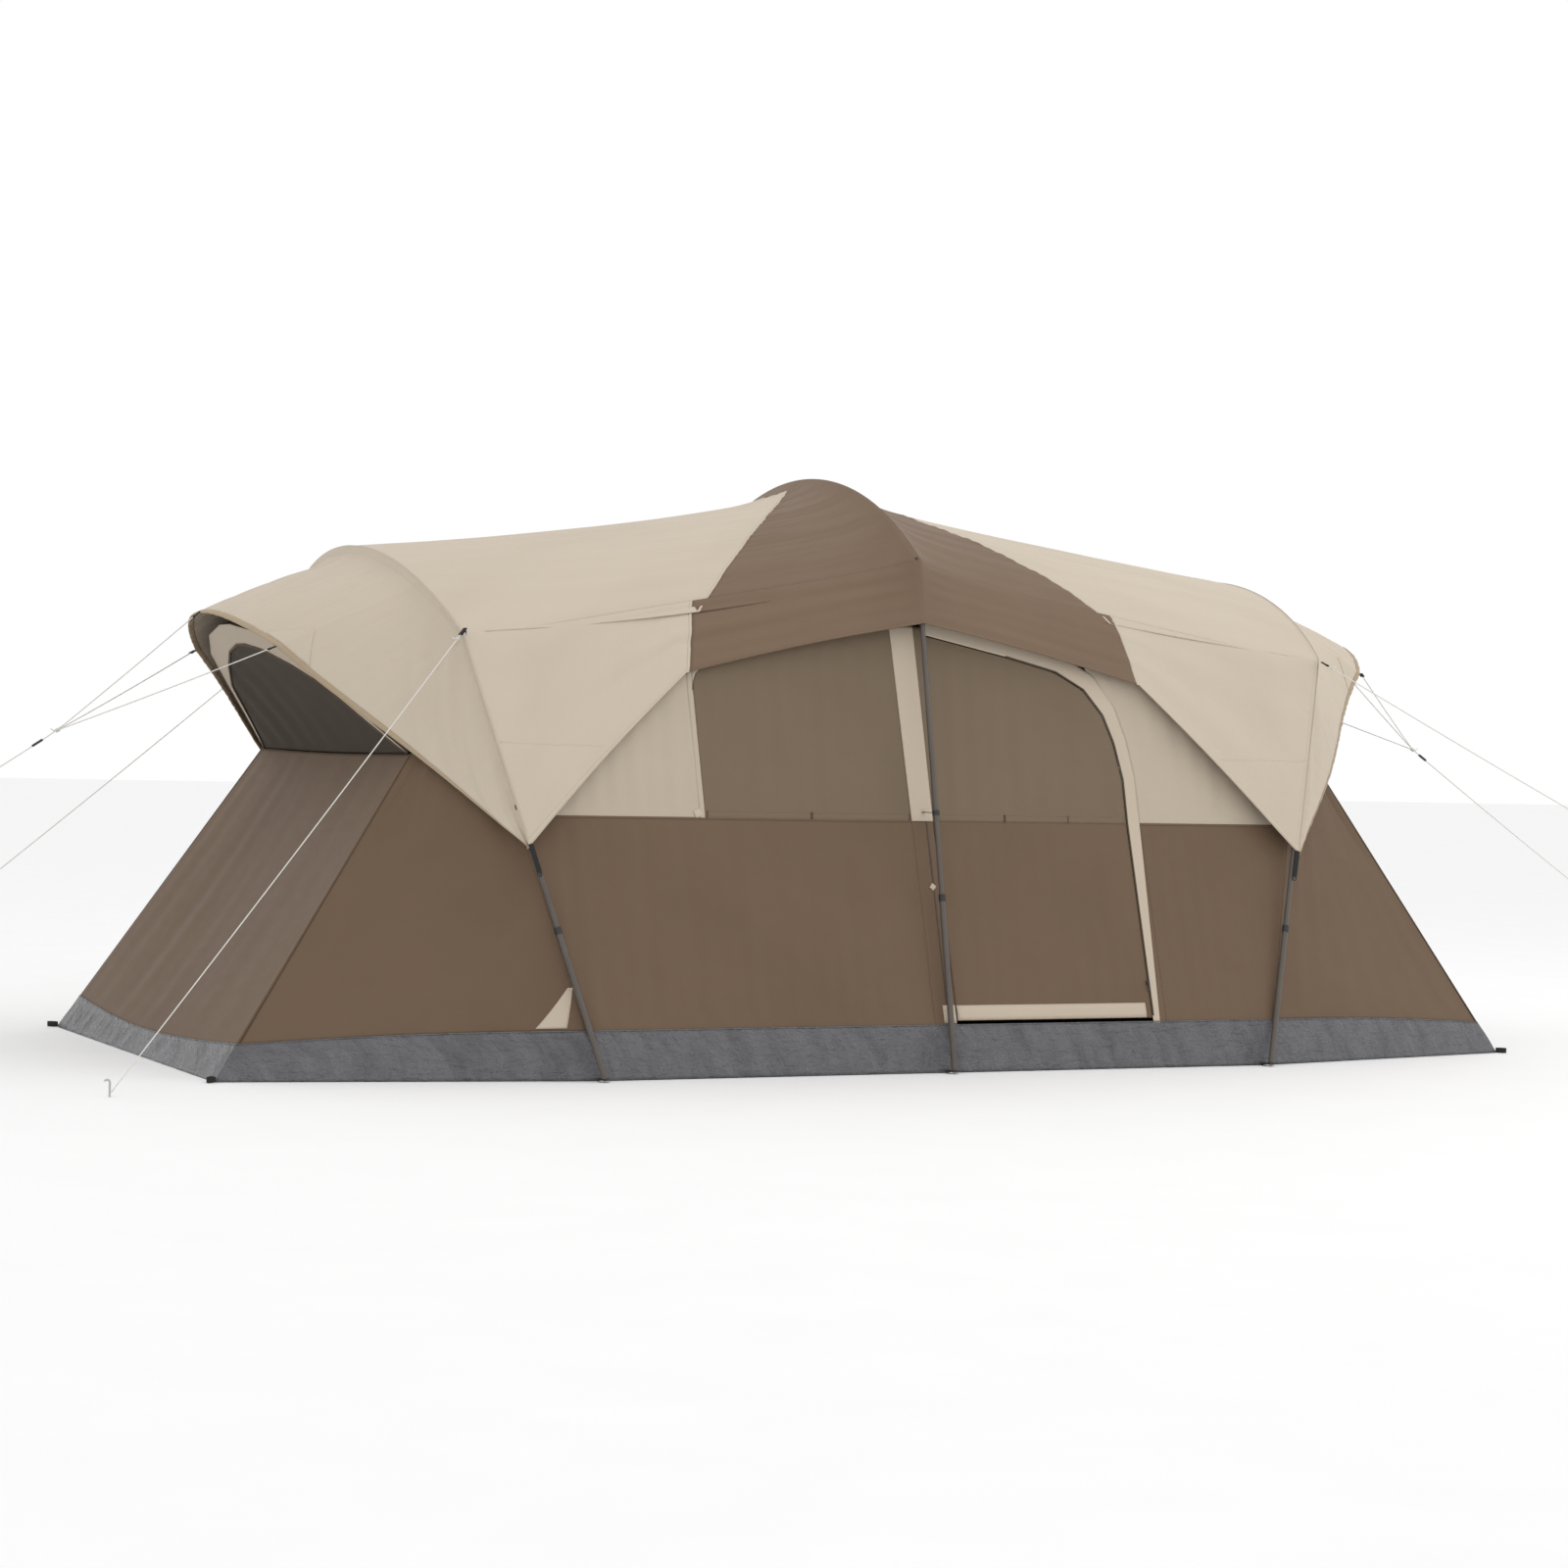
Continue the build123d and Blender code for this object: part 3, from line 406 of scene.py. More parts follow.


# A shiny coated sheet full of sharp small crinkles: ridged noise stretched two ways.
def crinkleLook(name, tone, deep, rough=0.28):
    look = Look(name, Specular_IOR_Level=0.5)
    tall = look.noise(look.place(True, (7, 2.5, 1)), 2.0, 6.0, 0.62)
    wide = look.noise(look.place(True, (2.5, 6, 1)), 2.6, 6.0, 0.62)
    ridged = (tall - 0.5).maths("ABSOLUTE", tall - 0.5) + (wide - 0.5).maths("ABSOLUTE", wide - 0.5)
    shift = ((tall - 0.40) * 3.0).held()
    look.shade(Base_Color=look.mixed(shift, (*tone, 1), (*deep, 1)))
    look.shade(Roughness=rough + (wide - 0.5) * 0.25)
    look.shade(Normal=look.bump(ridged, 1.0, 0.034))
    return look.material


# A dark net: a fine grid of holes drawn in colour and height.
def netLook(name, tone, deep):
    look = Look(name, Specular_IOR_Level=0.25, Roughness=0.8)
    parts = look.node("SeparateXYZ", {}, 0, Vector=look.place(True))
    along = Wire(look, parts.socket.node.outputs[1])
    hole = (parts * 3900.0).sine() * (along * 3900.0).sine()
    broad = look.noise(look.place(True), 3.0, 3.0)
    look.shade(Base_Color=look.mixed((broad * 0.9 + hole * 0.2).held(), (*tone, 1), (*deep, 1)))
    look.shade(Normal=look.bump(hole, 0.35, 0.001))
    return look.material


# Woven tape or braid: slanted ribs every few millimetres.
def tapeLook(name, tone, deep, pitch=0.0024, rough=0.72):
    look = Look(name, Specular_IOR_Level=0.3)
    parts = look.node("SeparateXYZ", {}, 0, Vector=look.place(False))
    up = Wire(look, parts.socket.node.outputs[2])
    side = Wire(look, parts.socket.node.outputs[1])
    rib = ((parts + up) * (2 * pi / pitch)).sine() * ((side - up) * (2 * pi / pitch)).sine()
    grain = look.noise(look.place(False), 260.0, 2.0)
    look.shade(Base_Color=look.mixed((rib * 0.35 + grain * 0.6).held(), (*tone, 1), (*deep, 1)))
    look.shade(Roughness=rough + (grain - 0.5) * 0.2, Normal=look.bump(rib + grain, 0.35, 0.0008))
    return look.material


# A hard finish: paint, plastic or metal with a light grain and faint handling marks.
def hardLook(name, tone, deep, rough=0.4, metal=0.0, grain=180.0, depth=0.0003, level=0.5):
    look = Look(name, Metallic=metal, Specular_IOR_Level=level)
    fine = look.noise(look.place(False), grain, 3.0)
    marks = look.noise(look.place(False, (1, 1, 0.3)), 14.0, 4.0)
    look.shade(Base_Color=look.mixed(((marks - 0.4) * 2.4).held(), (*tone, 1), (*deep, 1)))
    look.shade(Roughness=rough + (marks - 0.5) * 0.3, Normal=look.bump(fine, 0.25, depth))
    return look.material


looks = {
    "cream": clothLook("cream cloth", (0.545, 0.470, 0.378), (0.510, 0.437, 0.348)),
    # The upper walls' cream: the fly's cream cloth painted darker, as painted shade under the fly's hem.
    "shadedCream": clothLook("cream wall cloth painted shade", (0.470, 0.400, 0.314), (0.440, 0.373, 0.292), wrinkle=0.4),
    "brown": clothLook("brown cloth", (0.146, 0.096, 0.060), (0.130, 0.084, 0.052)),
    # The fly's brown: the walls' brown cloth painted lighter, as painted light falling on the top of the fly.
    "litBrown": clothLook("brown fly cloth painted light", (0.178, 0.120, 0.078), (0.158, 0.105, 0.068)),
    "window": clothLook("window cloth", (0.172, 0.127, 0.084), (0.158, 0.116, 0.076), wrinkle=0.35),
    # The tan: the cream cloth painted darker, as painted shade under the hoods; used on the hood rims and the back tie
    # patches.
    "tan": clothLook("cream binding painted shade", (0.400, 0.312, 0.212), (0.350, 0.270, 0.180), wrinkle=0.3),
    "strip": clothLook("pale strip", (0.520, 0.440, 0.345), (0.490, 0.412, 0.320), wrinkle=0.3),
    "tub": crinkleLook("grey coated sheet", (0.140, 0.140, 0.148), (0.088, 0.088, 0.095)),
    "net": netLook("dark net", (0.070, 0.053, 0.038), (0.046, 0.035, 0.025)),
    "black": tapeLook("black webbing", (0.022, 0.021, 0.020), (0.010, 0.010, 0.010)),
    "zip": tapeLook("zip tape", (0.105, 0.080, 0.058), (0.060, 0.046, 0.034), 0.0016),
    "line": tapeLook("pale cord", (0.780, 0.760, 0.700), (0.560, 0.545, 0.500), 0.0020),
    "leg": hardLook("painted leg", (0.092, 0.076, 0.064), (0.070, 0.058, 0.049), 0.38),
    "pole": hardLook("glass fibre", (0.055, 0.053, 0.050), (0.040, 0.038, 0.036), 0.35),
    "plastic": hardLook("black plastic", (0.022, 0.022, 0.023), (0.015, 0.015, 0.016), 0.5, grain=420.0),
    "steel": hardLook("plated steel", (0.560, 0.555, 0.545), (0.430, 0.425, 0.415), 0.28, 1.0),
    "stitch": tapeLook("stitching", (0.420, 0.350, 0.270), (0.380, 0.315, 0.240), 0.0030),
    "darkStitch": tapeLook("dark stitching", (0.105, 0.070, 0.045), (0.085, 0.056, 0.036), 0.0030),
}
print("materials ready")


# An object from a grid of points; a wrapped direction joins its last row or column to the first.
def gridObject(name, points, look, wrapRows=False, wrapCols=False, flip=False, caps=False):
    name = name + "_cloth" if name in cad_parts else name
    rows, cols = points.shape[:2]
    index = np.arange(rows * cols).reshape(rows, cols)
    if wrapRows:
        index = np.concatenate([index, index[:1]])
    if wrapCols:
        index = np.concatenate([index, index[:, :1]], 1)
    u, v = measured(points.reshape(-1, 3)[index])
    flat = np.stack([u, v], -1)
    corners = (slice(None, -1), slice(1, None))
    order = ((0, 0), (1, 0), (1, 1), (0, 1))
    order = order[::-1] if flip else order
    faces = np.stack([index[corners[i], corners[j]] for i, j in order], -1).reshape(-1, 4)
    uvs = np.stack([flat[corners[i], corners[j]] for i, j in order], 2).reshape(-1, 2)
    ends = [index[0, :cols][:: 1 if flip else -1].tolist(), index[-1, :cols][:: -1 if flip else 1].tolist()]
    faceList = faces.tolist() + (ends if caps else [])
    mesh = bpy.data.meshes.new(name)
    mesh.from_pydata(points.reshape(-1, 3).tolist(), [], faceList)
    layer = mesh.uv_layers.new(name="cloth")
    given = np.zeros((len(mesh.loops), 2))
    given[: len(uvs)] = uvs
    layer.data.foreach_set("uv", given.ravel())
    mesh.polygons.foreach_set("use_smooth", np.ones(len(mesh.polygons), bool))
    mesh.materials.append(looks[look])
    piece = bpy.data.objects.new(name, mesh)
    bpy.context.scene.collection.objects.link(piece)
    return piece


# Area of a grid of points, from its cells' diagonals.
def gridArea(points):
    one = points[1:, 1:] - points[:-1, :-1]
    two = points[1:, :-1] - points[:-1, 1:]
    return float(np.linalg.norm(np.cross(one, two), axis=-1).sum() / 2)


# A thin piece sewn from one grid: outward faces, thickness on its inner side and its body, with its CAD nodes hidden.
def thin(name, points, look, slot, nodes=(), body="root", inside=(0, 0, 0.7), thick=0.0009, wrap=False):
    away = np.sum(normals(points) * (points - np.array(inside)), -1).mean()
    piece = gridObject(name, points, look, wrapCols=wrap, flip=away < 0)
    shell = piece.modifiers.new("thickness", "SOLIDIFY")
    shell.thickness = thick
    shell.offset = -1
    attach(piece, body)
    if nodes:
        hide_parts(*nodes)
    return piece


# A whole panel of cloth: thin(), then its area and longest row worked out; nothing uses them.
def cloth(name, points, look, slot, nodes=(), body="root", held="stretched", on=(), **more):
    piece = thin(name, points, look, slot, nodes, body, **more)
    u, v = measured(points)
    area, wide = gridArea(points), float(u[:, -1].max())
    return piece


# Points spaced evenly along a line of corners.
def spaced(route, count):
    route = np.array(route, float)
    reach = np.concatenate([[0], np.cumsum(np.linalg.norm(np.diff(route, axis=0), axis=-1))])
    at = np.linspace(0, reach[-1], count)
    return np.stack([np.interp(at, reach, route[:, k]) for k in range(route.shape[1])], -1)


# A grid of straight lines between two lines that have the same number of points.
def between(a, b, cols):
    share = np.linspace(0, 1, cols)[None, :, None]
    return a[:, None] * (1 - share) + b[:, None] * share


# Nought at a grid's four edges, and one a little way in.
def inner(points, margin=0.05):
    u, v = measured(points)
    near = np.minimum(np.minimum(u, u[:, -1:] - u), np.minimum(v, v[-1:] - v))
    return np.clip(near / margin, 0, 1) ** 1.5


# The same grid, moved outwards by a lift at each point.
def lifted(points, lift, inside=(0, 0, 0.7)):
    return points + outward(points, inside) * np.asarray(lift)[..., None]


# A strap or tape of flat section along a route; wide is the direction of its width at each point.
def strap(name, route, wide, width, thick, look, nodes=(), body="root", closed=False):
    route = np.array(route, float)
    wide = np.broadcast_to(np.array(wide, float), route.shape)
    if closed:
        ahead = np.roll(route, -1, 0) - np.roll(route, 1, 0)
    else:
        ahead = np.gradient(route, axis=0)
    ahead = ahead / np.linalg.norm(ahead, axis=-1, keepdims=True)
    deep = np.cross(ahead, wide)
    deep = deep / np.linalg.norm(deep, axis=-1, keepdims=True)
    wide = np.cross(deep, ahead)
    turn = np.radians([20, 70, 110, 160, 200, 250, 290, 340])
    x = np.sign(np.cos(turn)) * np.where(np.abs(np.cos(turn)) > 0.5, 1.0, 0.88) * width / 2
    y = np.sin(turn) / np.sin(np.radians(70)) * thick / 2
    points = route[:, None] + wide[:, None] * x[None, :, None] + deep[:, None] * y[None, :, None]
    piece = gridObject(name, points, look, wrapRows=closed, wrapCols=True, flip=True, caps=not closed)
    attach(piece, body)
    if nodes:
        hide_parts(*nodes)
    return piece


# Distance of the front and back walls from the middle at a height: steep above the seam.
def wallY(z):
    low = wall["footY"] + (wall["seamY"] - wall["footY"]) * (z - wall["tubZ"]) / (wall["seamZ"] - wall["tubZ"])
    high = wall["seamY"] + (wall["topY"] - wall["seamY"]) * (z - wall["seamZ"]) / (wall["topZ"] - wall["seamZ"])
    return np.where(z <= wall["seamZ"], low, high)


# X of the side hoops' plane at a height.
def hoopEdge(z):
    return hoop["x"] + z * tan(hoop["tilt"])


roof = {"ridgeZ": 2.050, "drop": 0.300, "crestX": 1.800, "midZ": 1.597}
roof["fallX"] = roof["drop"] / roof["crestX"]
roof["fallY"] = (roof["ridgeZ"] - roof["midZ"]) / float(wallY(roof["midZ"]))


# Height at which the ceiling meets the upper wall.
def eaveZ(x):
    slope = (wall["seamY"] - wall["topY"]) / (wall["topZ"] - wall["seamZ"])
    reach = wall["seamY"] + slope * wall["seamZ"]
    return (roof["ridgeZ"] - roof["fallX"] * abs(x) - roof["fallY"] * reach) / (1 - roof["fallY"] * slope)


endX = hoopEdge(eaveZ(1.683)) - 0.005
wallEnd = (endX, eaveZ(endX))


# A panel of the front (-1) or back (1) wall between two lines of x and z, with upright folds that fade at its edges.
def wallGrid(a, b, rows, cols, side=-1, seed=1, folds=0.0022, lift=0.0):
    flat = between(spaced(a, rows), spaced(b, rows), cols)
    x, z = flat[..., 0], flat[..., 1]
    points = np.stack([x, side * wallY(z), z], -1)
    soft = creases(x, z, seed, 0.11, folds, 7, 0.15) + creases(z, x, seed + 1, 0.30, folds * 0.7, 4)
    return lifted(points, soft * inner(points) + lift)


# A flat band of constant width along a route of x and z on the wall.
def wallBand(name, route, width, look, slot, nodes=(), lift=0.0012, side=-1, body="root", count=60, thick=0.0008):
    route = spaced(route, count)
    ahead = np.gradient(route, axis=0)
    ahead = ahead / np.linalg.norm(ahead, axis=-1, keepdims=True)
    cross = np.stack([-ahead[:, 1], ahead[:, 0]], -1)
    share = np.linspace(-0.5, 0.5, 5)
    flat = route[:, None] + cross[:, None] * (share * width)[None, :, None]
    points = np.stack([flat[..., 0], side * wallY(flat[..., 1]), flat[..., 1]], -1)
    edge = np.array([0.4, 1, 1.05, 1, 0.4])[None, :]
    return thin(name, lifted(points, lift * edge + 0 * flat[..., 0]), look, slot, nodes, body, thick=thick)


# The rain fly: cream on both sides of a brown bow tie that crosses the middle pole.
flySeed = {-1: 21, 1: 44}
sides = {"left": -1, "right": 1}
rowsQ = np.linspace(-1, 1, 481)[:, None]
flyCols = np.linspace(0, 1, 72)[None, :]
for name, side in sides.items():
    edge = brownEdge(rowsQ)
    u = edge + (1 - edge) * flyCols
    points = flySurface(side, rowsQ + 0 * u, u, flySeed[side])
    cloth("fly_" + name, points, "cream", "fly_cream", ["fly_" + name], on=["roof_pole_centre", "roof_pole_" + name])
for name, ends in (("front", (-1, 0)), ("back", (0, 1))):
    q = np.linspace(*ends, 241)[:, None]
    parts = []
    for side in (-1, 1):
        u = brownEdge(q) * np.linspace(0, 1, 48)[None, :]
        half = flySurface(side, q + 0 * u, u, flySeed[side])
        parts.append(half[:, :0:-1] if side < 0 else half)
    points = np.concatenate(parts, 1)
    cloth("fly_centre_" + name, points, "litBrown", "fly_brown", ["fly_centre_" + name], on=["roof_pole_centre"])
print("fly ready")


# A sewn strip on the fly along a line of rows q and shares u, half a width to each side.
def flyStrip(name, side, q, u, width, look, slot, lift=0.0012, alongRows=True):
    share = np.array([-0.5, -0.35, 0.35, 0.5])[None, :] * width
    q, u = q[:, None] + 0 * share, u[:, None] + 0 * share
    q = q if alongRows else q + share / 1.75
    u = u + share / 1.8 if alongRows else u
    points = lifted(flySurface(side, q, np.clip(u, 0, 1), flySeed[side]), lift * np.array([0.5, 1, 1, 0.5]) + 0 * q)
    return thin(name, points, look, slot, thick=0.0005)


hoodSeed = {-1: 61, 1: 77}


# A sewn strip on the hood along a line of rows q and shares w out to the rim.
def hoodStrip(name, side, q, w, width, look, slot, lift=0.0012, alongRows=True):
    share = np.array([-0.5, -0.35, 0.35, 0.5])[None, :] * width
    q, w = q[:, None] + 0 * share, w[:, None] + 0 * share
    q = q if alongRows else q + share / 1.75
    w = w + share / 0.6 if alongRows else w
    points = lifted(hoodSurface(side, np.clip(w, 0, 1), q, hoodSeed[side]), lift * np.array([0.5, 1, 1, 0.5]) + 0 * q)
    return thin(name, points, look, slot, thick=0.0005)


# Row at which the fly passes through a height, at each share u.
def levelRow(side, u, height):
    q = np.linspace(0.5, 1, 200)[:, None] + 0 * u
    t, d = rowShares(q, u + 0 * q)
    z = flyPlace(side, u + 0 * q, t, d, 1)[..., 2]
    return q[np.argmin(np.abs(z - height), axis=0), 0]


longQ = np.linspace(-1, 1, 481)
for name, side in sides.items():
    flyStrip("fly_seam_" + name, side, longQ, brownEdge(longQ) + 0.004, 0.010, "cream", "fly_cream")
    flyStrip("hoop_seam_" + name, side, longQ, 0 * longQ + 0.992, 0.006, "cream", "fly_cream",
             0.0005)
    hoodStrip("hood_seam_" + name, side, longQ, 0 * longQ + 0.030, 0.005, "cream", "fly_cream", 0.0005)
    for end in (-1, 1):
        label = name + ("_front" if end < 0 else "_back")
        run = np.linspace(0, 1, 60)
        flyStrip("fly_yoke_" + label, side, end * levelRow(side, 0.78 + 0.21 * run, 1.13), 0.78 + 0.21 * run, 0.005,
                 "cream", "fly_cream", 0.0006, False)
        hemQ = end * np.full(160, 0.994)
        flyStrip("fly_hem_" + label, side, hemQ, np.linspace(brownEdge(1.0), 1, 160), 0.014, "cream",
                 "fly_cream", 0.0010, False)
        flyStrip("brown_hem_" + label, side, hemQ, np.linspace(0, brownEdge(1.0), 160), 0.014, "litBrown",
                 "fly_brown", 0.0010, False)

# The hoods over both ends, their folded rims and the three-cornered patches at the ties.
for name, side in sides.items():
    w = np.linspace(0, 1, 64)[None, :] + 0 * rowsQ
    points = hoodSurface(side, w, rowsQ + 0 * w, hoodSeed[side])
    hood = cloth("hood_" + name, points, "cream", "fly_cream", ["hood_" + name], on=["roof_pole_" + name],
                 inside=(0, 0, 0.7))
    w = np.array([0.962, 0.968, 0.984, 1.0])[None, :] + 0 * rowsQ
    outer = hoodSurface(side, w, rowsQ + 0 * w, hoodSeed[side])
    n = outward(outer)
    top = outer + n * 0.0016
    edge = outer[:, -1:] + (outer[:, -1:] - outer[:, -2:-1]) * 0.10
    under = (outer - n * 0.0022)[:, ::-1]
    band = np.concatenate([outer[:, :1] + n[:, :1] * 0.0004, top, edge, under], 1)
    # The folded rim takes the cream cloth painted darker, as painted shade.
    thin("hood_rim_" + name, band, "tan", "fly_cream", thick=0.0005)
    for end in (-1, 1):
        label = name + ("_front" if end < 0 else "_back")
        a, b = np.linspace(-1, 1, 25)[None, :], np.linspace(0.0, 0.96, 17)[:, None]
        q = end * rims[side]["tieQ"] + a * (1 - b) * 0.070
        patch = hoodSurface(side, 0.957 - 0.24 * b + 0 * q, q, hoodSeed[side])
        # The back patches take the cream cloth painted darker, as painted shade; the front ones stay plain cream.
        thin("tie_patch_" + label, lifted(patch, 0.0012 + 0 * q), "tan" if end > 0 else "cream", "fly_cream",
             thick=0.0006)
print("hoods ready")

# Tub: one band round the floor. Its foot is the floor's outline; its top is level along the sides, bowed up between
# the legs and the corners, and hangs in a shallow curve along the ends.
cornerShare = tub["topEnd"] / ridge["z"]
footTopX = hoopEdge(wall["tubZ"])
cornerTop = (tub["cornerX"] + (ridge["x"] - tub["cornerX"]) * cornerShare,
             tub["cornerY"] + (ridge["y"] - tub["cornerY"]) * cornerShare)
lowCorner = [(tub["cornerX"], -tub["cornerY"]), (hoop["x"], -tub["footY"]), (-hoop["x"], -tub["footY"]),
             (-tub["cornerX"], -tub["cornerY"]), (-tub["cornerX"], tub["cornerY"]), (-hoop["x"], tub["footY"]),
             (hoop["x"], tub["footY"]), (tub["cornerX"], tub["cornerY"])]
highCorner = [(cornerTop[0], -cornerTop[1]), (footTopX, -wall["footY"]), (-footTopX, -wall["footY"]),
              (-cornerTop[0], -cornerTop[1]), (-cornerTop[0], cornerTop[1]), (-footTopX, wall["footY"]),
              (footTopX, wall["footY"]), (cornerTop[0], cornerTop[1])]
topZ = [tub["topEnd"], wall["tubZ"], wall["tubZ"], tub["topEnd"]] * 2
bow = [0.010, 0.0, 0.010, -0.037] * 2  # how far each side of the band's top bows up
endSlope = (tub["cornerX"] - ridge["x"]) / ridge["z"]
lows, highs = [], []
for k in range(8):
    j = (k + 1) % 8
    share = np.linspace(0, 1, [100, 260, 100, 190][k % 4], endpoint=False)[:, None]
    low = np.array([*lowCorner[k], 0.0015]) * (1 - share) + np.array([*lowCorner[j], 0.0015]) * share
    high = np.array([*highCorner[k], topZ[k]]) * (1 - share) + np.array([*highCorner[j], topZ[j]]) * share
    arch = bow[k] * np.sin(pi * share[:, 0])
    high[:, 2] += arch
    high[:, 0] -= np.sign(high[:, 0]) * arch * (endSlope if k % 4 == 3 else 0.0)
    lows.append(low)
    highs.append(high)
low, high = np.concatenate(lows), np.concatenate(highs)
band = between(low, high, 15).transpose(1, 0, 2)
band = np.concatenate([band, band[:, :1]], 1)
reach = measured(band)[0]
rise = np.linspace(0, 1, 15)[:, None]
total = reach[0, -1]
around = reach[:1] * (1 + 0 * rise)
rng = np.random.default_rng(5)
crinkle = 0
for wave in range(9):  # whole waves round the band, so that its ends meet
    turns = int(total / (0.05 + 0.035 * wave))
    start, lean = rng.uniform(0, 2 * pi), rng.uniform(-1.6, 1.6)
    crinkle = crinkle + np.sin(2 * pi * turns * around / total + start + lean * rise * 2) * (0.6 + 0.4 * np.sin(
        2 * pi * int(rng.integers(3, 9)) * around / total + start))
crinkle = 0.0013 * crinkle * np.sin(pi * np.clip(rise * 0.9 + 0.08, 0, 1))
tubPoints = lifted(band, crinkle + 0.0022 * rise)
cloth("tub_wall", tubPoints, "tub", "tub", ["tub_wall"], held="hung", on=["foot_webbing"], thick=0.0010)
seamBand = tubPoints[-2:]
seamLine = np.concatenate([seamBand[0:1] * 0.35 + seamBand[1:] * 0.65, seamBand[1:]])
thin("tub_seam", lifted(seamLine, 0.0010 + 0 * seamLine[..., 0]), "tub", "tub", thick=0.0012)
x, y = np.linspace(-1, 1, 161)[None, :], np.linspace(-1, 1, 81)[:, None]
halfX = np.interp(np.abs(y) * tub["footY"], [0, tub["cornerY"], tub["footY"]],
                  [tub["cornerX"], tub["cornerX"], hoop["x"]]) - 0.004
floor = np.stack([x * halfX, y * (tub["footY"] - 0.004) + 0 * x, 0.0020 + 0 * x * y], -1)
soft = creases(floor[..., 0], floor[..., 1], 8, 0.22, 0.0012) * inner(floor)
cloth("floor_sheet", floor + np.stack([0 * soft, 0 * soft, np.abs(soft)], -1), "tub", "tub", ["floor_panel"],
      held="laid", inside=(0, 0, -3))
print("tub ready")

# Front and back walls. Each panel lies between two lines of x and z.
windowX, stripLeft, hingeX, stripRight = -0.888, -0.100, 0.036, 0.907
z0, z1 = wall["tubZ"] - 0.006, wall["seamZ"]
onLegs = ["wall_clips"]
lowLeft = [(-hoopEdge(z0), z0), (-hoopEdge(z1), z1)]
points = wallGrid(lowLeft, [(-0.050, z0), (-0.050, z1)], 90, 150, seed=3, folds=0.0030)
cloth("front_wall_lower_left", points, "brown", "fly_brown", ["front_wall_lower_left"], on=onLegs)
points = wallGrid([(-0.050, z0), (-0.050, z1)], [(hingeX, z0), (hingeX, z1)], 90, 12, seed=4, folds=0.0006)
cloth("hinge_strip_lower", points, "brown", "fly_brown", ["door_flaps"], on=onLegs)
points = wallGrid([(-0.050, z1), (-0.101, 1.58)], [(hingeX, z1), (-0.004, 1.58)], 80, 12, seed=5, folds=0.0006,
                  lift=0.0014)
thin("hinge_strip_upper", points, "strip", "fly_cream")
points = wallGrid([(hingeX - 0.002, z1), (-0.008, 1.58)], [(hingeX + 0.001, z1), (hingeX + 0.001, 1.58)], 60, 6,
                  seed=5, folds=0.0)
thin("hinge_gore", points, "window", "window_cloth")
points = wallGrid([(stripRight, z0), (stripRight, z1)], [(hoopEdge(z0), z0), (hoopEdge(z1), z1)], 90, 70, seed=6)
cloth("front_wall_lower_right", points, "brown", "fly_brown", ["front_wall_lower_right"], on=onLegs)

windowLeft = [(-0.862, z1), (windowX, 1.340), (windowX, eaveZ(windowX))]
points = wallGrid(windowLeft, [(-0.050, z1), (-0.098, eaveZ(0.098))], 80, 96, seed=7, folds=0.0026)
cloth("front_window", points, "window", "window_cloth", ["front_window"], on=onLegs)
hoopUp = [(-hoopEdge(z1), z1), (-wallEnd[0], wallEnd[1])]
points = wallGrid(hoopUp, windowLeft, 80, 70, seed=9, folds=0.0030)
cloth("front_wall_upper_left", points, "shadedCream", "fly_cream", ["front_wall_upper_left"], on=onLegs)
wallBand("window_edge_left", [(-0.872, z1), (-0.899, 1.340), (-0.899, 1.40)], 0.020, "shadedCream", "fly_cream")
cornerArc = [(windowX, 1.325), (-0.885, 1.355), (-0.874, 1.382), (-0.854, 1.402), (-0.826, 1.415), (-0.78, 1.424)]
cornerOut = [(windowX, 1.345), (windowX, 1.38), (windowX, 1.42), (windowX, 1.435), (-0.84, 1.44), (-0.78, 1.445)]
flat = between(spaced(cornerArc, 24), spaced(cornerOut, 24), 6)
cornerPoints = np.stack([flat[..., 0], -wallY(flat[..., 1]), flat[..., 1]], -1)
thin("window_corner", lifted(cornerPoints, 0.0014 + 0 * flat[..., 0]), "shadedCream", "fly_cream", thick=0.0006)
wallBand("window_piping", cornerArc[:1] + cornerArc, 0.004, "darkStitch", "fly_brown", lift=0.0022)
wallBand("window_hem", [(-0.862, z1 + 0.012), (-0.055, z1 + 0.012)], 0.022, "window", "window_cloth")
for k, x in enumerate((-0.855, -0.452, -0.447, -0.058)):
    wallBand("window_toggle_%d" % k, [(x, z1 + 0.002), (x + 0.002, z1 + 0.026)], 0.004, "darkStitch", "fly_brown",
             lift=0.0030, count=8)
wallBand("window_tie_corner", [(-0.902, z1 + 0.012), (-0.878, z1 + 0.024)], 0.030, "strip", "fly_cream",
         lift=0.0018, count=8)

# The door: brown below, window cloth above, all on the door's body.
doorX = (0.038, 0.850)
doorFoot = 0.182
doorTop = [(0.842, 1.040), (0.812, 1.175), (0.772, 1.276), (0.696, 1.368), (0.581, 1.430), (0.371, 1.480),
           (0.038, 1.548)]
points = wallGrid([(doorX[0], doorFoot), (doorX[0], z1)], [(doorX[1], doorFoot), (doorX[1], z1)], 80, 84, seed=11)
cloth("door_panel", points, "brown", "fly_brown", ["door_panel"], "door", on=["door_frame_rod"])
heights = np.linspace(z1, 1.546, 90)
topX, topZs = np.array(doorTop)[::-1].T
freeX = np.interp(heights, topZs[::-1], topX[::-1], left=0.850)
freeX = np.where(heights < 1.04, doorX[1] - 0.008 * (heights - z1) / 0.16, freeX)
points = wallGrid([(doorX[0], z1), (doorX[0], 1.546)], np.stack([freeX, heights], -1), 90, 84, seed=12)
flat = between(np.stack([0 * heights + doorX[0], heights], -1), np.stack([freeX, heights], -1), 84)
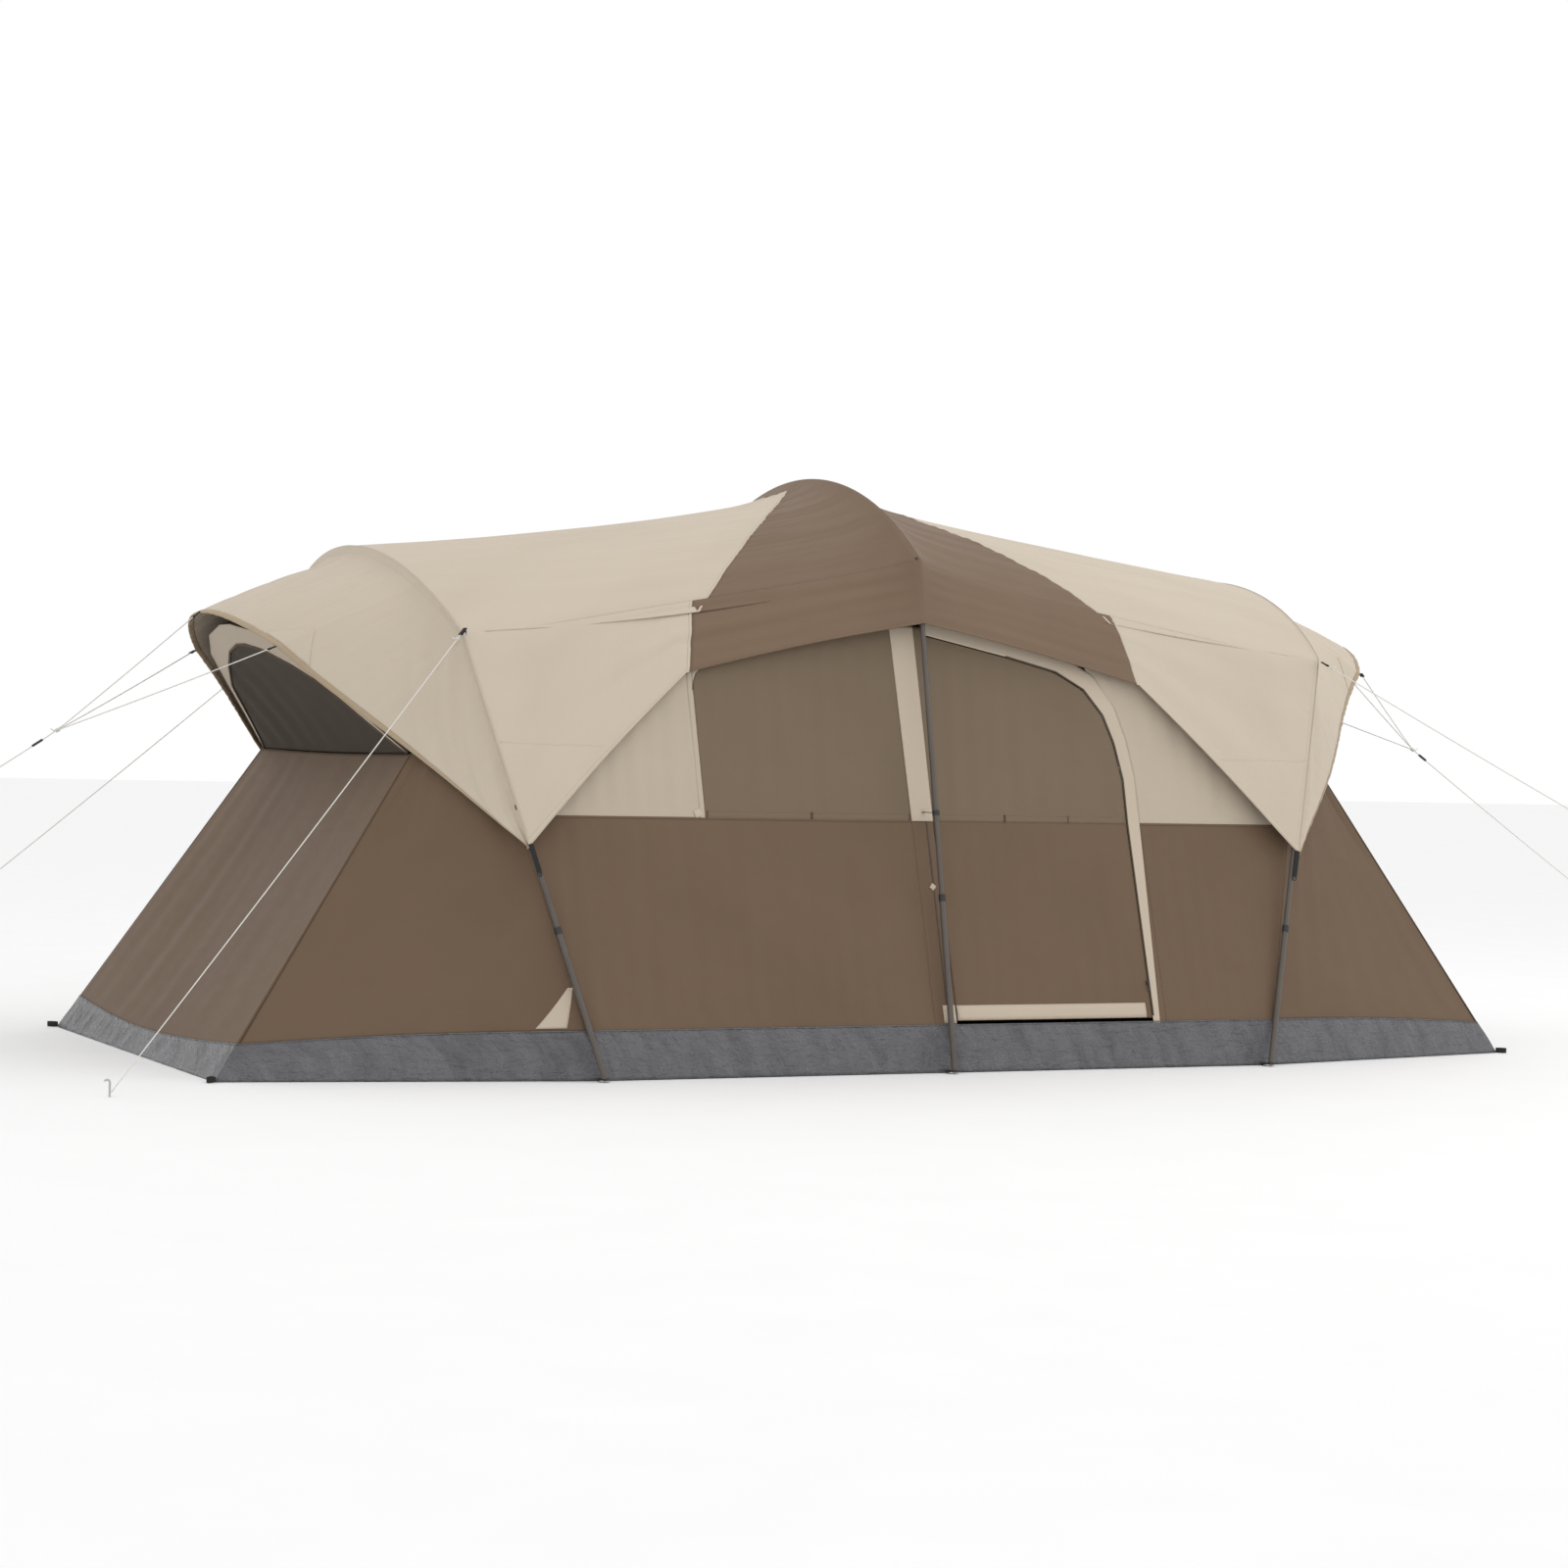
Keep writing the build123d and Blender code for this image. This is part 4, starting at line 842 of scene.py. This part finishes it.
points = np.stack([flat[..., 0], -wallY(flat[..., 1]), flat[..., 1]], -1)
soft = creases(flat[..., 0], flat[..., 1], 12, 0.12, 0.0024, 7, 0.15) * inner(points)
cloth("door_window", lifted(points, soft), "window", "window_cloth", ["door_window"], "door", on=["door_frame_rod"])
wallBand("door_foot_band", [(0.040, 0.209), (0.825, 0.209)], 0.052, "strip", "fly_cream", body="door", lift=0.0042)
wallBand("door_foot_end", [(-0.014, 0.205), (0.035, 0.205)], 0.062, "strip", "fly_cream", lift=0.0018, count=10)
wallBand("door_window_hem", [(0.042, z1 + 0.012), (0.842, z1 + 0.012)], 0.022, "window", "window_cloth", body="door")
for k, x in enumerate((0.060, 0.330, 0.335, 0.600)):
    wallBand("door_toggle_%d" % k, [(x, z1 + 0.002), (x + 0.002, z1 + 0.026)], 0.004, "darkStitch", "fly_brown",
             lift=0.0030, body="door", count=8)

# The pale strip round the door's free edge, from the sill up and over its curved top.
stripIn = [(0.852, z0), (0.852, 0.88), (0.844, 1.042), (0.814, 1.177), (0.774, 1.278), (0.698, 1.370),
           (0.583, 1.433), (0.373, 1.484), (0.038, 1.552)]
stripOut = [(0.880, z0), (0.907, 0.88), (0.897, 1.05), (0.868, 1.195), (0.826, 1.312), (0.745, 1.425),
            (0.640, 1.482), (0.380, 1.545), (0.038, 1.600)]
flat = between(spaced(stripIn, 150), spaced(stripOut, 150), 10)
points = np.stack([flat[..., 0], -wallY(flat[..., 1]), flat[..., 1]], -1)
cloth("door_edge_strip", lifted(points, 0.0012 + 0 * flat[..., 0]), "strip", "fly_cream", ["door_flaps"], on=onLegs)
beside = [(0.880, z0), (0.907, 0.88)]
points = wallGrid(beside, [(stripRight, z0), (stripRight, 0.88)], 60, 6, seed=14, folds=0.0)
thin("door_side_gore", points, "brown", "fly_brown")
zipRoute = [(0.855, 0.190), (0.855, 0.88), (0.8475, 1.043)] + [(x + 0.005, z + 0.004) for x, z in doorTop[1:-1]]
wallBand("door_zip", zipRoute, 0.0070, "zip", "fly_brown", lift=0.0028, count=160)
wallBand("hinge_zip", [(0.004, 0.24), (0.010, 0.88)], 0.0060, "zip", "fly_brown", lift=0.0018, count=60)
wallBand("toggle_low", [(-0.003, 0.640), (0.010, 0.655)], 0.020, "strip", "fly_cream", lift=0.0030, count=8)
arch = [(0.907, 0.88), (0.897, 1.05), (0.868, 1.195), (0.826, 1.312), (0.735, 1.415), (0.700, eaveZ(0.70))]
points = wallGrid(arch, [(hoopEdge(z1), z1), (wallEnd[0], wallEnd[1])], 80, 70, seed=15, folds=0.0030)
cloth("front_wall_upper_right", points, "shadedCream", "fly_cream", ["front_wall_upper_right"], on=onLegs)

points = wallGrid([(-hoopEdge(z0), z0), (-hoopEdge(z1), z1)], [(hoopEdge(z0), z0), (hoopEdge(z1), z1)], 90, 240, 1, 17)
cloth("back_wall_lower", points, "brown", "fly_brown", ["back_wall_lower"], on=onLegs)
for name, side in sides.items():
    edge = [(side * 0.862, z1), (side * 0.888, 1.340), (side * 0.888, eaveZ(0.888))]
    middle = [(side * 0.050, z1), (side * 0.050, eaveZ(0.05))]
    cloth("back_window_" + name, wallGrid(edge, middle, 80, 96, 1, 19 + side), "window", "window_cloth",
          ["back_windows"], on=onLegs)
    hoopUp = [(side * hoopEdge(z1), z1), (side * wallEnd[0], wallEnd[1])]
    cloth("back_wall_upper_" + name, wallGrid(hoopUp, edge, 80, 70, 1, 23 + side), "shadedCream", "fly_cream",
          ["back_wall_upper"], on=onLegs)
    wallBand("back_window_edge_" + name, [(side * 0.872, z1), (side * 0.899, 1.34), (side * 0.899, 1.42)], 0.020,
             "shadedCream", "fly_cream", side=1)
middle = wallGrid([(-0.050, z1), (-0.050, eaveZ(0.05))], [(0.050, z1), (0.050, eaveZ(0.05))], 80, 14, 1, 29, 0.0006)
cloth("back_wall_middle", middle, "shadedCream", "fly_cream", ["back_wall_upper"], on=onLegs)
for name, side in (("front", -1), ("back", 1)):
    wallBand("waist_seam_" + name, [(-hoopEdge(z1), z1), (-0.052 if side < 0 else 0, z1)], 0.008, "brown",
             "fly_brown", side=side, lift=0.0016, count=120)
    wallBand("waist_seam_right_" + name, [(0.908 if side < 0 else 0, z1), (hoopEdge(z1), z1)], 0.008, "brown",
             "fly_brown", side=side, lift=0.0016, count=80)
print("walls ready")

# Corner panels: straight lines between the sloping corner seam and the side hoop's line.
seamPoint = (hoopEdge(z1), wall["seamY"], z1)
eavePoint = (wallEnd[0] + 0.006, float(wallY(wallEnd[1])), wallEnd[1])
for name, side in sides.items():
    for end in (-1, 1):
        label = name + ("_front" if end < 0 else "_back")
        a = spaced([(cornerTop[0], cornerTop[1], tub["topEnd"]), (ridge["x"], ridge["y"], ridge["z"])], 90)
        b = spaced([(footTopX, wall["footY"], wall["tubZ"]), seamPoint, eavePoint], 90)
        points = between(a, b, 80) * np.array([side, end, 1])
        up, across = np.linspace(0, 1, 90)[:, None], np.linspace(0, 1, 80)[None, :]
        points[..., 2] += (0.010 * np.sin(pi * across) - 0.005) * (1 - up) ** 3
        soft = creases(across * 0.9, up, 31 + side + 2 * end, 0.16, 0.0026, 6, 0.2) * inner(points)
        bowl = -0.016 * np.sin(pi * across) * np.sin(pi * up) ** 0.7 - 0.018 * np.clip(up * 4 - 2.4, 0, 1) * inner(points)
        points = lifted(points, soft + bowl)
        cloth("corner_panel_" + label, points, "brown", "fly_brown", ["corner_panels"], on=["wall_clips"])
        route = spaced([points[0, 0], points[-1, 0]], 40)
        strap("corner_seam_" + label, route, (0, end * 1.0, 0.4), 0.008, 0.004, "darkStitch")
        if side < 0 and end < 0:
            t = np.linspace(0, 1, 16)[:, None]
            row = 1 + 10.5 * t + 0 * t.T
            left, right = 0.849 + 0.132 * t, 0.942 + 0.056 * t
            col = (left + (right - left) * np.linspace(0, 1, 8)[None, :]) * 79
            row = row[:, :8]
            r0, c0 = np.floor(row).astype(int), np.minimum(np.floor(col).astype(int), 78)
            fr, fc = (row - r0)[..., None], (col - c0)[..., None]
            near = points[r0, c0] * (1 - fc) + points[r0, c0 + 1] * fc
            above = points[r0 + 1, c0] * (1 - fc) + points[r0 + 1, c0 + 1] * fc
            patch = near * (1 - fr) + above * fr
            thin("corner_patch", lifted(patch, 0.0020 + 0 * row), "strip", "fly_cream", thick=0.0008)

# The sloping end walls, the arched nets above them and their pale borders.
netZ = [1.082, 1.100, 1.190, 1.310, 1.380, 1.430, 1.452]
netHalf = [0.812, 0.775, 0.665, 0.535, 0.365, 0.200, 0.050]
outZ = [1.083, 1.110, 1.205, 1.315, 1.425, 1.490, 1.522]
outHalf = [0.816, 0.788, 0.685, 0.580, 0.465, 0.290, 0.060]
for name, side in sides.items():
    a = spaced([(cornerTop[0], -cornerTop[1], tub["topEnd"]), (ridge["x"], -ridge["y"], ridge["z"])], 90)
    b = a * np.array([1, -1, 1])
    points = between(a, b, 120) * np.array([side, 1, 1])
    up, across = np.linspace(0, 1, 90)[:, None], np.linspace(0, 1, 120)[None, :]
    drop = (0.037 * np.sin(pi * across) + 0.004) * (1 - up) ** 3 + 0.008 * np.sin(pi * across) * up**4
    points[..., 2] -= drop
    points[..., 0] += side * endSlope * drop
    soft = creases(across * 1.9, up, 41 + side, 0.24, 0.0026, 6, 0.25) * inner(points)
    fan = 0.002 * np.sin(9 * (across - up * 0.35)) * np.sin(pi * up) * inner(points)
    points = lifted(points, soft + fan - 0.022 * np.sin(pi * across) * np.sin(pi * up))
    cloth("end_wall_" + name, points, "brown", "fly_brown", ["end_wall_" + name], on=["tub_wall"])

    height = np.linspace(netZ[0], netZ[-1], 60)
    half = np.interp(height, netZ, netHalf)
    share = np.linspace(-1, 1, 90)[None, :]
    y, z = half[:, None] * share, height[:, None] + 0 * share
    z = z - 0.008 * (1 - share**2) * (1 - (z - netZ[0]) / 0.37) ** 4
    inSlope = 0.93
    points = np.stack([side * (ridge["x"] + inSlope * (z - ridge["z"])), y, z], -1)
    soft = creases(y, z, 47 + side, 0.12, 0.0030, 6, 0.3) * inner(points)
    points = lifted(points, soft - 0.020 * (1 - share**2) * np.sin(pi * (z - netZ[0]) / 0.37), (side * 1.2, 0, 1.2))
    cloth("end_window_" + name, points, "net", "mesh", ["end_window_" + name], inside=(side * 1.2, 0, 1.2),
          on=["end_wall_" + name])
    netEdge = np.stack([np.concatenate([-np.array(netHalf), np.array(netHalf)[::-1]]),
                        np.array(netZ + netZ[::-1])], -1)
    outEdge = np.stack([np.concatenate([-np.array(outHalf), np.array(outHalf)[::-1]]),
                        np.array(outZ + outZ[::-1])], -1)
    flat = between(spaced(netEdge, 140), spaced(outEdge, 140), 8)
    points = np.stack([side * (ridge["x"] + inSlope * (flat[..., 1] - ridge["z"]) + 0.0012), flat[..., 0],
                       flat[..., 1]], -1)
    cloth("end_window_border_" + name, points, "shadedCream", "fly_cream", inside=(side * 1.2, 0, 1.2),
          on=["end_window_" + name])
    piping = spaced(netEdge, 140)
    route = np.stack([side * (ridge["x"] + inSlope * (piping[:, 1] - ridge["z"]) + 0.003), piping[:, 0],
                      piping[:, 1]], -1)
    strap("end_window_piping_" + name, route, (side * -0.68, 0, 0.73), 0.004, 0.008, "darkStitch")

    outRoute = spaced(outEdge, 140)
    a = np.stack([side * (ridge["x"] + inSlope * (outRoute[:, 1] - ridge["z"])), outRoute[:, 0], outRoute[:, 1]], -1)
    crest = (roof["crestX"] + 0.004, 0, roof["ridgeZ"] - roof["drop"])
    b = spaced([(eavePoint[0], -eavePoint[1] + 0.006, eavePoint[2]), crest,
                (eavePoint[0], eavePoint[1] - 0.006, eavePoint[2])], 140) * np.array([side, 1, 1])
    points = between(a, b, 40)
    points = lifted(points, creases(points[..., 1], points[..., 2], 51, 0.2, 0.003) * inner(points))
    cloth("ceiling_end_" + name, points, "net", "mesh", ["ceiling_net"], on=["roof_pole_" + name])

q, x = np.linspace(-1, 1, 90)[:, None], np.linspace(-1, 1, 120)[None, :]
reachY = np.interp(np.abs(x), [0, 1], [float(wallY(roof["midZ"])) - 0.006, float(wallY(wallEnd[1])) - 0.008])
reachX = roof["crestX"] - (roof["crestX"] - wallEnd[0]) * np.abs(q)
y, x = q * reachY, x * reachX
z = roof["ridgeZ"] - roof["fallX"] * np.abs(x) - roof["fallY"] * np.abs(y) - 0.001
points = np.stack([x, y, z], -1)
points = lifted(points, (creases(x, y, 53, 0.25, 0.003) - 0.012 * np.abs(np.sin(2 * pi * q))) * inner(points))
cloth("ceiling_net", points, "net", "mesh", ["ceiling_net"], held="hung", on=["roof_pole_centre"])
print("ends and ceiling ready")

# Webbing: folded tabs at the guy lines, straps under the fly's tips, loops at the feet and the corners.
def tabLoop(name, start, far, width):
    start, far = np.array(start, float), np.array(far, float)
    line = (far - start) / np.linalg.norm(far - start)
    level = np.cross((0, 0, 1), line)
    level = level / np.linalg.norm(level)
    flat = np.cross(line, level)
    along = [-0.004, 0.004, 0.014, 0.022, 0.0265, 0.0285, 0.0265, 0.022, 0.014, 0.004, -0.004]
    aside = [0.0009, 0.0009, 0.0011, 0.0019, 0.0018, 0, -0.0018, -0.0019, -0.0011, -0.0009, -0.0009]
    route = start + np.outer(along, line) + np.outer(aside, flat)
    strap(name, route, level, width, 0.0014, "black", ["guy_line_tabs"])


def apexOf(side):
    return (side * (rims[side]["apexX"] + 0.004), 0, rims[side]["apexZ"])


def tieOf(side, end):
    rim = rims[side]
    x = tipX + (rim["apexX"] - tipX) * rim["drop"]
    z = fly["tipZ"] + (rim["apexZ"] - fly["tipZ"]) * rim["drop"]
    return (side * (x + 0.005), end * (rim["tieY"] + 0.002), z)


farOff = {**sideFar, "back_right": (3.019, 1.386, 0.014)}
for name, side in sides.items():
    tabLoop("apex_tab_" + name, apexOf(side), knots[name], 0.016)
    for label, end in (("front", -1), ("back", 1)):
        tabLoop("tie_tab_" + name + "_" + label, tieOf(side, end), knots[name], 0.016)
        start = (side * sideTab[0], end * sideTab[1], sideTab[2])
        tabLoop("side_tab_" + label + "_" + name, start, farOff[label + "_" + name], 0.020)

        # strap from the fly's tip down the leg, ending in a ring
        top, low = fly["tipZ"] + 0.010, fly["tipZ"] - 0.088
        lean = (hoop["footY"] - hoop["elbowY"]) / hoop["elbowSide"]
        z = np.linspace(top, low, 14)
        out = 0.0185 - 0.003 * np.linspace(0, 1, 14) ** 2
        route = np.stack([side * (hoopEdge(z) + 0.006), end * (hoop["footY"] - lean * z + out), z], -1)
        strap("tip_strap_" + name + "_" + label, route, (1, 0, 0), 0.018, 0.0018, "black",
              ["fly_corner_straps"])
        turn = np.linspace(0, 2 * pi, 28, endpoint=False)
        ring = route[-1] + np.stack([0.0075 * np.cos(turn), 0 * turn, 0.0075 * np.sin(turn) - 0.004], -1)
        strap("tip_ring_" + name + "_" + label, ring, (0, 1, 0), 0.0030, 0.0030, "plastic", closed=True)

        # loop lying on the ground at the floor's corner
        turn = np.linspace(-0.88 * pi, 0.88 * pi, 30)
        ahead = np.array([side * 0.77, end * 0.64, 0])
        aside = np.array([-ahead[1], ahead[0], 0])
        corner = np.array([side * (tub["cornerX"] + 0.014), end * (tub["cornerY"] + 0.010), 0.0105])
        loop = corner + np.outer(0.021 * np.cos(turn), ahead) + np.outer(0.0095 * np.sin(turn), aside)
        strap("corner_loop_" + name + "_" + label, loop, (0, 0, 1), 0.019, 0.0018, "black",
              ["corner_loops"])
for name, x in (("left", -hoop["x"]), ("centre", 0.0), ("right", hoop["x"])):
    for label, end in (("front", -1), ("back", 1)):
        y = np.array([1.288, 1.298, 1.306, 1.3105, 1.3125, 1.3105, 1.306, 1.298, 1.288])
        z = np.array([0.0085, 0.0088, 0.0088, 0.0075, 0.0052, 0.0030, 0.0016, 0.0014, 0.0014])
        route = np.stack([x + 0 * y, end * y, z], -1)
        strap("foot_loop_" + name + "_" + label, route, (1, 0, 0), 0.024, 0.0014, "black",
              ["foot_webbing"])
print("webbing ready")


# A free line: a smooth run through its corners, in the pale cord finish and on the root body, with its CAD node
# hidden.
def line(name, route, far, node, exit=None, pieces=()):
    places = [np.array(route[0], float)]
    for a, b in zip(route[:-1], route[1:]):
        a, b = np.array(a, float), np.array(b, float)
        count = max(3, int(np.linalg.norm(b - a) / 0.12))
        share = np.linspace(0, 1, count + 1)[1:]
        droop = -0.0035 * np.linalg.norm(b - a) * np.sin(pi * share)
        places += list(a + np.outer(share, b - a) + np.outer(droop, (0, 0, 1)))
    piece = nurbs(name, [tuple(p) for p in places], cordR)
    piece.data.materials.append(looks["line"])
    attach(piece, "root")
    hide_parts(node)
    return piece


# A wound knot: a short helix round the line, ending in a small tail.
def knot(name, place, ahead, turns=3, radius=0.0042):
    ahead = np.array(ahead, float) / np.linalg.norm(ahead)
    level = np.cross(ahead, (0, 0, 1))
    level = level / np.linalg.norm(level)
    flat = np.cross(ahead, level)
    turn = np.linspace(0, 2 * pi * turns, 10 * turns)
    run = np.linspace(-0.5, 0.5, 10 * turns) * 0.0042 * turns
    route = place + np.outer(run, ahead) + np.outer(radius * np.cos(turn), level) + np.outer(
        radius * np.sin(turn), flat)
    tail = route[-1] + np.outer([0.005, 0.011, 0.018], ahead * 0.4 - flat * 0.9)
    piece = nurbs(name, [tuple(p) for p in route] + [tuple(p) for p in tail], cordR * 0.95)
    piece.data.materials.append(looks["line"])
    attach(piece, "root")
    return piece


for label, far in sideFar.items():
    side = sides[label.split("_")[1]]
    end = -1 if label.startswith("front") else 1
    tab = (side * sideTab[0], end * sideTab[1], sideTab[2])
    start = towards(tab, far, tabLong - 0.002)
    last = "object" if label == "front_left" else "bare"
    line("guy_line_" + label, [start, far], last, "guy_line_" + label)
    knot("side_knot_" + label, towards(tab, far, tabLong + 0.014), np.array(far) - np.array(tab), 2)
    if last == "bare":
        knot("end_knot_" + label, towards(far, tab, 0.012), np.array(far) - np.array(tab), 3)
for name, side in sides.items():
    middle, far = np.array(knots[name]), np.array(endFar[name])
    start = towards(apexOf(side), middle, tabLong - 0.002)
    line("guy_line_" + name, [start, middle, far], "bare", "guy_line_" + name)
    knot("bridle_knot_" + name, middle, far - middle, 4, 0.0055)
    knot("end_knot_" + name, towards(far, middle, 0.012), far - middle, 3)
    for label, end in (("front", -1), ("back", 1)):
        start = towards(tieOf(side, end), middle, tabLong - 0.002)
        line("bridle_" + name + "_" + label, [start, middle], "object", "bridle_" + name + "_" + label)
print("lines ready")

# What is kept from the frame as it is gets its finish here.
kept = {"leg": ["leg_front_left", "leg_front_centre", "leg_front_right", "leg_back_left", "leg_back_centre",
                "leg_back_right", "leg_upper_tubes"],
        "pole": ["roof_pole_left", "roof_pole_centre", "roof_pole_right"],
        "plastic": ["elbow_connectors", "leg_joint_collars", "foot_caps", "wall_clips", "door_zip_slider",
                    "tensioner_left", "tensioner_right"],
        "steel": ["roof_pole_ferrules", "foot_ring_pins", "stake_front_left", "door_frame_rod"],
        "line": ["shock_cords"]}
for look, names in kept.items():
    for name in names:
        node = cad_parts[name]
        node.data.materials.clear()
        node.data.materials.append(looks[look])

# A plain pale floor, a white surround and three soft lights: a broad one overhead and to the right, and two fills.
floorSize = 60
ground = gridObject("floor", np.array([[[x, y, -0.0006] for x in (-floorSize, floorSize)]
                                       for y in (-floorSize, floorSize)], float), "strip", flip=True)
paper = Look("pale floor", Roughness=0.9, Specular_IOR_Level=0.1)
speck = paper.noise(paper.place(False), 3.0, 2.0)
paper.shade(Base_Color=paper.mixed(speck, (0.93, 0.93, 0.93, 1), (0.90, 0.90, 0.90, 1)))
ground.data.materials.clear()
ground.data.materials.append(paper.material)


def softLight(name, place, aim, size, power, tint=(1, 1, 1)):
    data = bpy.data.lights.new(name, "AREA")
    data.shape = "DISK"
    data.size = size
    data.energy = power
    data.color = tint
    lamp = bpy.data.objects.new(name, data)
    lamp.location = place
    lamp.rotation_euler = (Vector(aim) - Vector(place)).to_track_quat("-Z", "Y").to_euler()
    bpy.context.scene.collection.objects.link(lamp)


softLight("overhead", (2.5, -2.0, 8.5), (0, 0, 0.8), 6.0, 95)
softLight("front fill", (-5.0, -11.0, 4.0), (0, 0, 0.9), 6.0, 20)
softLight("right fill", (8.0, -6.0, 5.0), (0, 0, 1.0), 5.0, 60)
world = bpy.data.worlds.new("surround")
world.use_nodes = True
world.node_tree.nodes["Background"].inputs[0].default_value = (1, 1, 1, 1)
world.node_tree.nodes["Background"].inputs[1].default_value = 1.0
bpy.context.scene.world = world
bpy.context.scene.view_settings.view_transform = "Standard"
print("lights ready")
